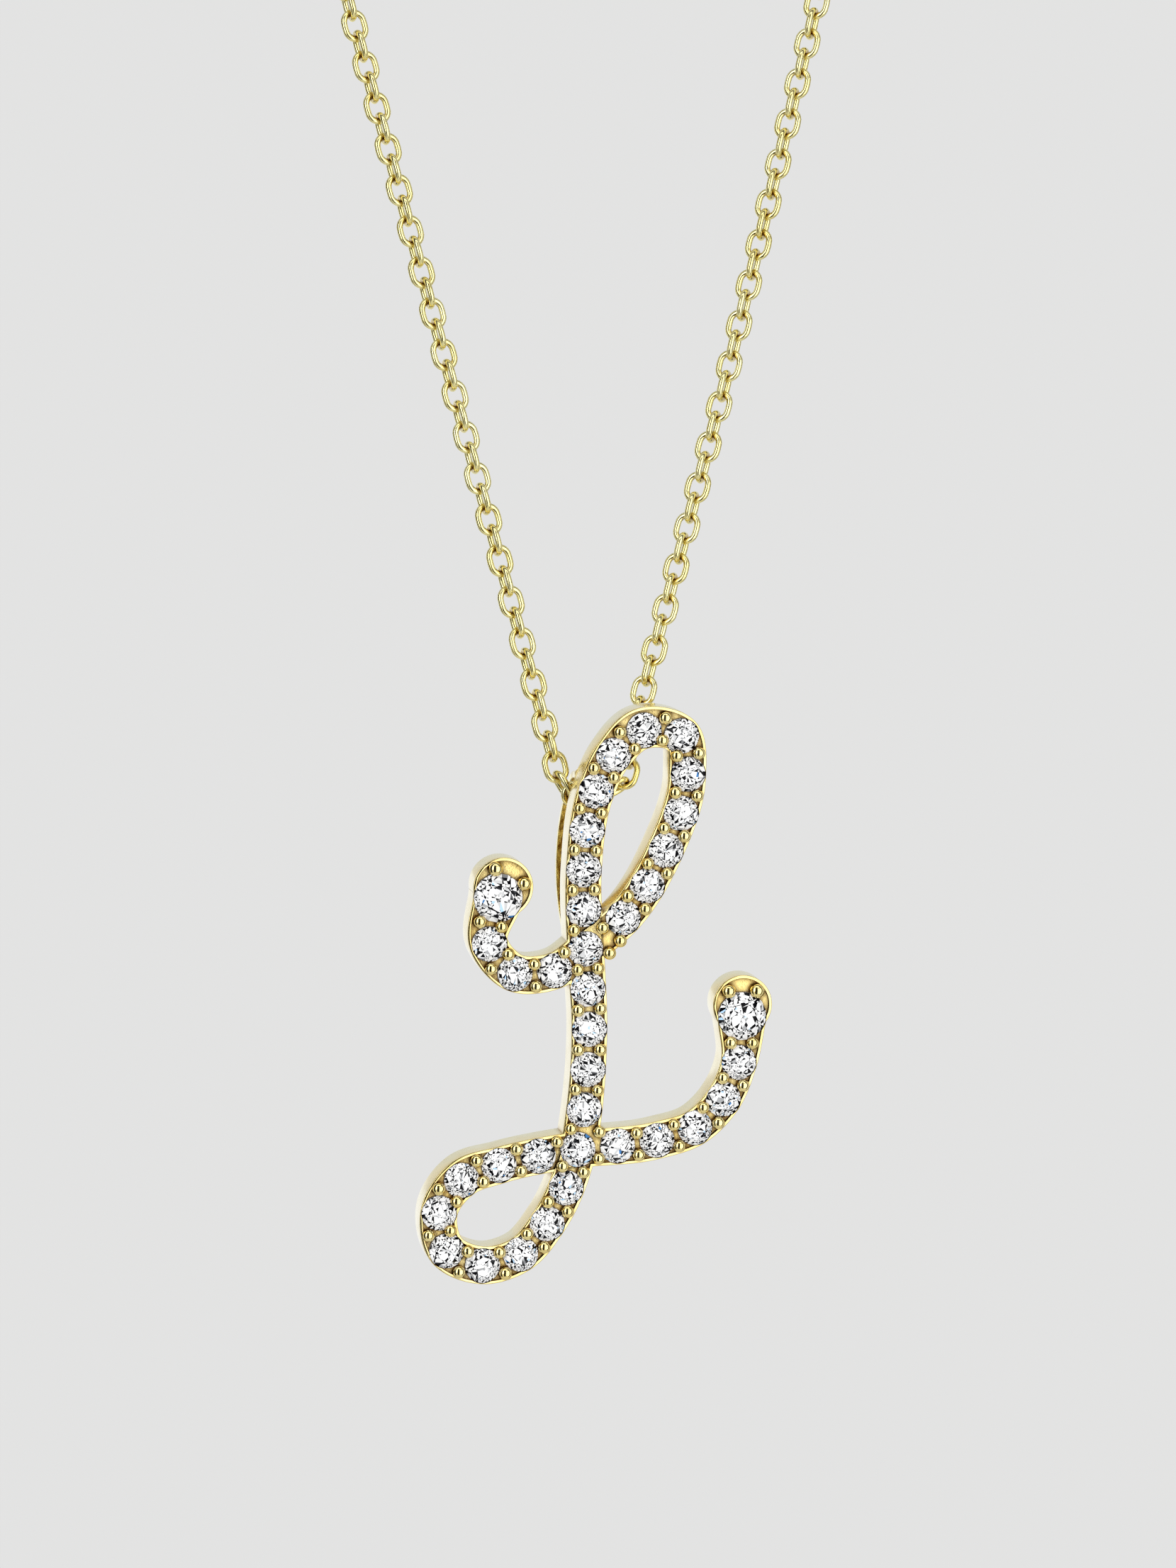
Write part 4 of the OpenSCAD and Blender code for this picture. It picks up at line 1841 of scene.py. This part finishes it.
    def build(self) -> None:
        """Copies a fine link beside the pendant and a plain one further round, and joins them."""
        fine = self.link("fine_link", *self.fine_steps)
        plain = self.link("plain_link", *self.plain_steps)
        joints, mark = self.joints()
        copies = []
        for count, (middle, way, face) in enumerate(self.facings(joints)):
            near = middle.z < -self.loop_drop + self.fine_reach
            angle = self.roll(count, mark)
            across = face.cross(way)
            up = face * math.cos(angle) + across * math.sin(angle)
            turn = Matrix((way, up.cross(way), up)).transposed().to_4x4()
            place = Matrix.Translation(middle) @ turn
            copies.append(Bench.copy(fine if near else plain, f"link_{count}", place))
        bpy.data.objects.remove(fine)
        bpy.data.objects.remove(plain)
        LOG.info("cable_chain: %d links", len(copies))
        chain = Bench.join(copies, "cable_chain")
        Bench.coat(chain, LINK_GOLD.material())
        Bench.smooth(chain, 80)
        Bench.hand_over(chain, Matrix.Scale(MM, 4), Body.NECKLACE, Slot.GOLD, "chain")


@dataclass
class Clasp:
    """The plain ring clasp at the nape: a ring, two eyes and the collars of a sliding catch."""

    outer: float = 5.0
    tube: float = 1.1
    eye: float = 1.8
    eye_wire: float = 0.5
    collar: float = 0.06
    catch_degrees: float = 62.0
    ring_steps: int = 60
    eye_steps: int = 36

    def _ring(
        self, name: str, outer: float, wire: float, place: Vector, steps: int
    ) -> bpy.types.Object:
        """Models a ring of round wire that stands facing the front.

        Args:
            name: The piece's name.
            outer: The ring's outer diameter.
            wire: The wire's diameter.
            place: The ring's middle.
            steps: How many steps it takes along the wire, three times those round it.

        Returns:
            The ring.
        """
        bpy.ops.mesh.primitive_torus_add(
            major_radius=(outer - wire) / 2,
            minor_radius=wire / 2,
            major_segments=steps,
            minor_segments=steps // 3,
            location=place,
            rotation=(math.pi / 2, 0, 0),
        )
        ring = Bench.named(name)
        bpy.ops.object.transform_apply(location=True, rotation=True)
        return ring

    def build(self) -> None:
        """Models the ring, its eyes and the collars of its catch."""
        clasp = self._ring("ring_clasp", self.outer, self.tube, Vector(), self.ring_steps)
        away = (self.outer + self.eye) / 2 - self.eye_wire
        for side in (-1, 1):
            place = Vector((side * away, 0, 0))
            eye = self._ring("eye", self.eye, self.eye_wire, place, self.eye_steps)
            Bench.combine(clasp, eye, Cut.ADD)
        path = (self.outer - self.tube) / 2
        for degrees in (self.catch_degrees, 180 - self.catch_degrees):
            turn = math.radians(degrees)
            bpy.ops.mesh.primitive_cylinder_add(
                vertices=self.eye_steps,
                radius=self.tube / 2 + self.collar,
                depth=self.tube / 3,
                location=(path * math.cos(turn), 0, path * math.sin(turn)),
                rotation=(0, -turn, 0),
            )
            collar = Bench.named("collar")
            bpy.ops.object.transform_apply(location=True, rotation=True)
            with Bench.shaping(collar):
                bpy.ops.mesh.select_all(action="SELECT")
                bpy.ops.mesh.bevel(offset=self.collar, segments=2, affect="EDGES")
            Bench.combine(clasp, collar, Cut.ADD)
        Bench.coat(clasp, POLISHED.material())
        Bench.smooth(clasp, 40)
        Bench.hand_over(clasp, Matrix.Scale(MM, 4), Body.NECKLACE, Slot.GOLD, "clasp")


# ---------------------------------------------------------------------------------------------
# The studio
# ---------------------------------------------------------------------------------------------


@dataclass(frozen=True)
class Softbox:
    """A soft lamp, placed by its direction from the camera's as seen from the pendant.

    Angles are in degrees and sizes in metres.
    """

    name: str
    turn: float
    lift: float
    away: float
    wide: float
    high: float
    radiance: float


@dataclass(frozen=True)
class Card:
    """A card that shows only in the polish, placed as the lamps are.

    Its half sizes are the angles, in degrees, that it covers as seen from the pendant.
    """

    name: str
    turn: float
    lift: float
    away: float
    half_wide: float
    half_high: float
    glow: float
    colour: Colour = (1, 1, 0.98, 1)


@dataclass
class Studio:
    """Camera, floor and the light tent round the pendant. Sizes are in metres."""

    camera: Vector = field(default_factory=lambda: Vector((-0.042213, -0.318064, -0.126638)))
    target: Vector = field(default_factory=lambda: Vector((-0.000531, -0.102, -0.134)))
    heading: float = 11.0
    lens: float = 138.56
    sensor: float = 36.0
    backdrop: float = 0.768
    floor_radius: float = 0.3
    floor_thick: float = 0.004
    floor_middle: tuple[float, float, float] = (0, -0.05, -0.42)
    floor_finish: Plain = Plain("pale_floor", (0.6, 0.6, 0.593, 1))
    lamps: tuple[Softbox, ...] = (
        Softbox("key", -32, 14, 0.45, 0.22, 0.4, 2.4),
        Softbox("fill", 44, -4, 0.45, 0.5, 0.6, 1.1),
        Softbox("top", 0, 70, 0.45, 0.5, 0.34, 1.2),
    )
    cards: tuple[Card, ...] = (
        Card("dark_strip_left", -66, 0, 0.3, 15, 60, 0.02),
        Card("dark_strip_middle", -5, 0, 0.3, 19, 60, 0.02),
        Card("cool_card_behind", -150, -1, 0.5, 26, 12, 1.22, (0.80, 0.85, 1, 1)),
        Card("cool_card_above", 180, 23, 0.5, 26, 11, 0.86, (0.82, 0.89, 1, 1)),
    )
    hoops: tuple[tuple[float, float], ...] = ((70.0, 89.0), (113.0, 129.0))
    hoop_away: float = 0.4
    hoop_finish: Glow = Glow("dark_hoop", (1, 0.8, 0.5, 1), 0.03)

    def _from_pendant(self, turn: float, lift: float, away: float) -> Vector:
        """Finds a place round the pendant.

        Args:
            turn: How far it is turned to the right of the camera's direction, in degrees.
            lift: How far it is lifted above that, in degrees.
            away: Its distance from the pendant.

        Returns:
            The place.
        """
        a, e = math.radians(self.heading - turn), math.radians(lift)
        back = Vector((-math.sin(a) * math.cos(e), -math.cos(a) * math.cos(e), math.sin(e)))
        return self.target + back * away

    def _hide(self, thing: bpy.types.Object) -> None:
        """Keeps a lamp or card out of the picture, so that only its reflection shows."""
        thing.visible_camera = False

    def shoot(self) -> None:
        """Sets up the camera at the photograph's angle."""
        data = bpy.data.cameras.new("camera")
        data.lens, data.sensor_width, data.sensor_fit = self.lens, self.sensor, "AUTO"
        data.clip_start, data.clip_end = 0.01, 10
        camera = bpy.data.objects.new("camera", data)
        camera.location = self.camera
        camera.rotation_euler = (math.pi / 2, 0, -math.radians(self.heading))
        bpy.context.scene.collection.objects.link(camera)
        bpy.context.scene.camera = camera

    def light(self) -> None:
        """Sets the even backdrop and the soft lamps."""
        world = bpy.data.worlds.new("tent")
        world.use_nodes = True
        shade = world.node_tree.nodes["Background"].inputs
        shade["Color"].default_value = (self.backdrop, self.backdrop, self.backdrop * 0.995, 1)
        shade["Strength"].default_value = 1.0
        bpy.context.scene.world = world
        bpy.context.scene.view_settings.view_transform = "Standard"
        for lamp in self.lamps:
            data = bpy.data.lights.new(lamp.name, "AREA")
            data.shape, data.size, data.size_y = "RECTANGLE", lamp.wide, lamp.high
            data.energy = lamp.radiance * math.pi * lamp.wide * lamp.high
            light = bpy.data.objects.new(lamp.name, data)
            light.location = self._from_pendant(lamp.turn, lamp.lift, lamp.away)
            light.rotation_mode = "QUATERNION"
            light.rotation_quaternion = (self.target - light.location).to_track_quat("-Z", "Y")
            light.visible_camera = False
            bpy.context.scene.collection.objects.link(light)

    def _card(self, card: Card) -> bpy.types.Object:
        """Hangs one card, facing the pendant.

        Args:
            card: The card.

        Returns:
            Its sheet.
        """
        place = self._from_pendant(card.turn, card.lift, card.away)
        bpy.ops.mesh.primitive_plane_add(size=2 * card.away, location=place)
        sheet = Bench.named(card.name)
        sheet.rotation_mode = "QUATERNION"
        sheet.rotation_quaternion = (self.target - place).to_track_quat("Z", "Y")
        wide, high = (math.tan(math.radians(half)) for half in (card.half_wide, card.half_high))
        sheet.scale = (wide, high, 1)
        Bench.coat(sheet, Glow(card.name, card.colour, card.glow).material())
        return sheet

    def _hoop(self, near: float, far: float) -> bpy.types.Object:
        """Hangs a dark hoop round the pendant.

        Args:
            near: Its near rim's angle from the camera's direction, in degrees.
            far: Its far rim's angle.

        Returns:
            The hoop.
        """
        bpy.ops.mesh.primitive_cylinder_add(vertices=64, radius=1, depth=1, end_fill_type="NOTHING")
        hoop = Bench.named("dark_hoop")
        with Bench.shaping(hoop):
            for side, degrees in ((-1, near), (1, far)):
                angle = math.radians(degrees)
                Bench.pick("verts", lambda v: abs(v.co.z - side / 2) < HAIR)
                radius = self.hoop_away * math.sin(angle)
                bpy.ops.transform.resize(value=(radius, radius, 1), center_override=(0, 0, 0))
                height = -self.hoop_away * math.cos(angle) - side / 2
                bpy.ops.transform.translate(value=(0, 0, height))
        hoop.location = self.target
        hoop.rotation_mode = "QUATERNION"
        hoop.rotation_quaternion = (self.target - self.camera).to_track_quat("Z", "Y")
        Bench.coat(hoop, self.hoop_finish.material())
        return hoop

    def reflect(self) -> None:
        """Hangs what the polish reflects: dark strips and hoops, and cool bright cards."""
        things = [self._card(card) for card in self.cards]
        things += [self._hoop(near, far) for near, far in self.hoops]
        for thing in things:
            thing.visible_shadow = thing.visible_diffuse = False
            self._hide(thing)

    def floor(self) -> None:
        """Lays the plain pale floor under the necklace."""
        bpy.ops.mesh.primitive_circle_add(
            vertices=96, radius=self.floor_radius, fill_type="NGON", location=self.floor_middle
        )
        floor = Bench.named("floor")
        down = (0, 0, -self.floor_thick)
        with Bench.shaping(floor):
            bpy.ops.mesh.select_all(action="SELECT")
            bpy.ops.mesh.extrude_region_move(TRANSFORM_OT_translate={"value": down})
            Bench.tidy(HAIR * MM)
        Bench.coat(floor, self.floor_finish.material())

    def build(self) -> None:
        """Sets up the whole studio."""
        self.shoot()
        self.light()
        self.reflect()
        self.floor()
        LOG.info("studio: %d lamps, %d cards", len(self.lamps), len(self.cards))


def main() -> None:
    """Builds the studio and then the necklace, piece by piece."""
    logging.basicConfig(level=logging.INFO, format="%(name)s %(relativeCreated)d ms: %(message)s")
    Bench.clear()
    stroke, hanging = Stroke(), Hanging()
    Studio().build()
    LetterFrame(stroke, hanging).build()
    Bail(hanging).build()
    Stones(stroke, hanging).build()
    CableChain().build()
    Clasp().build()


if __name__ == "__main__":
    main()
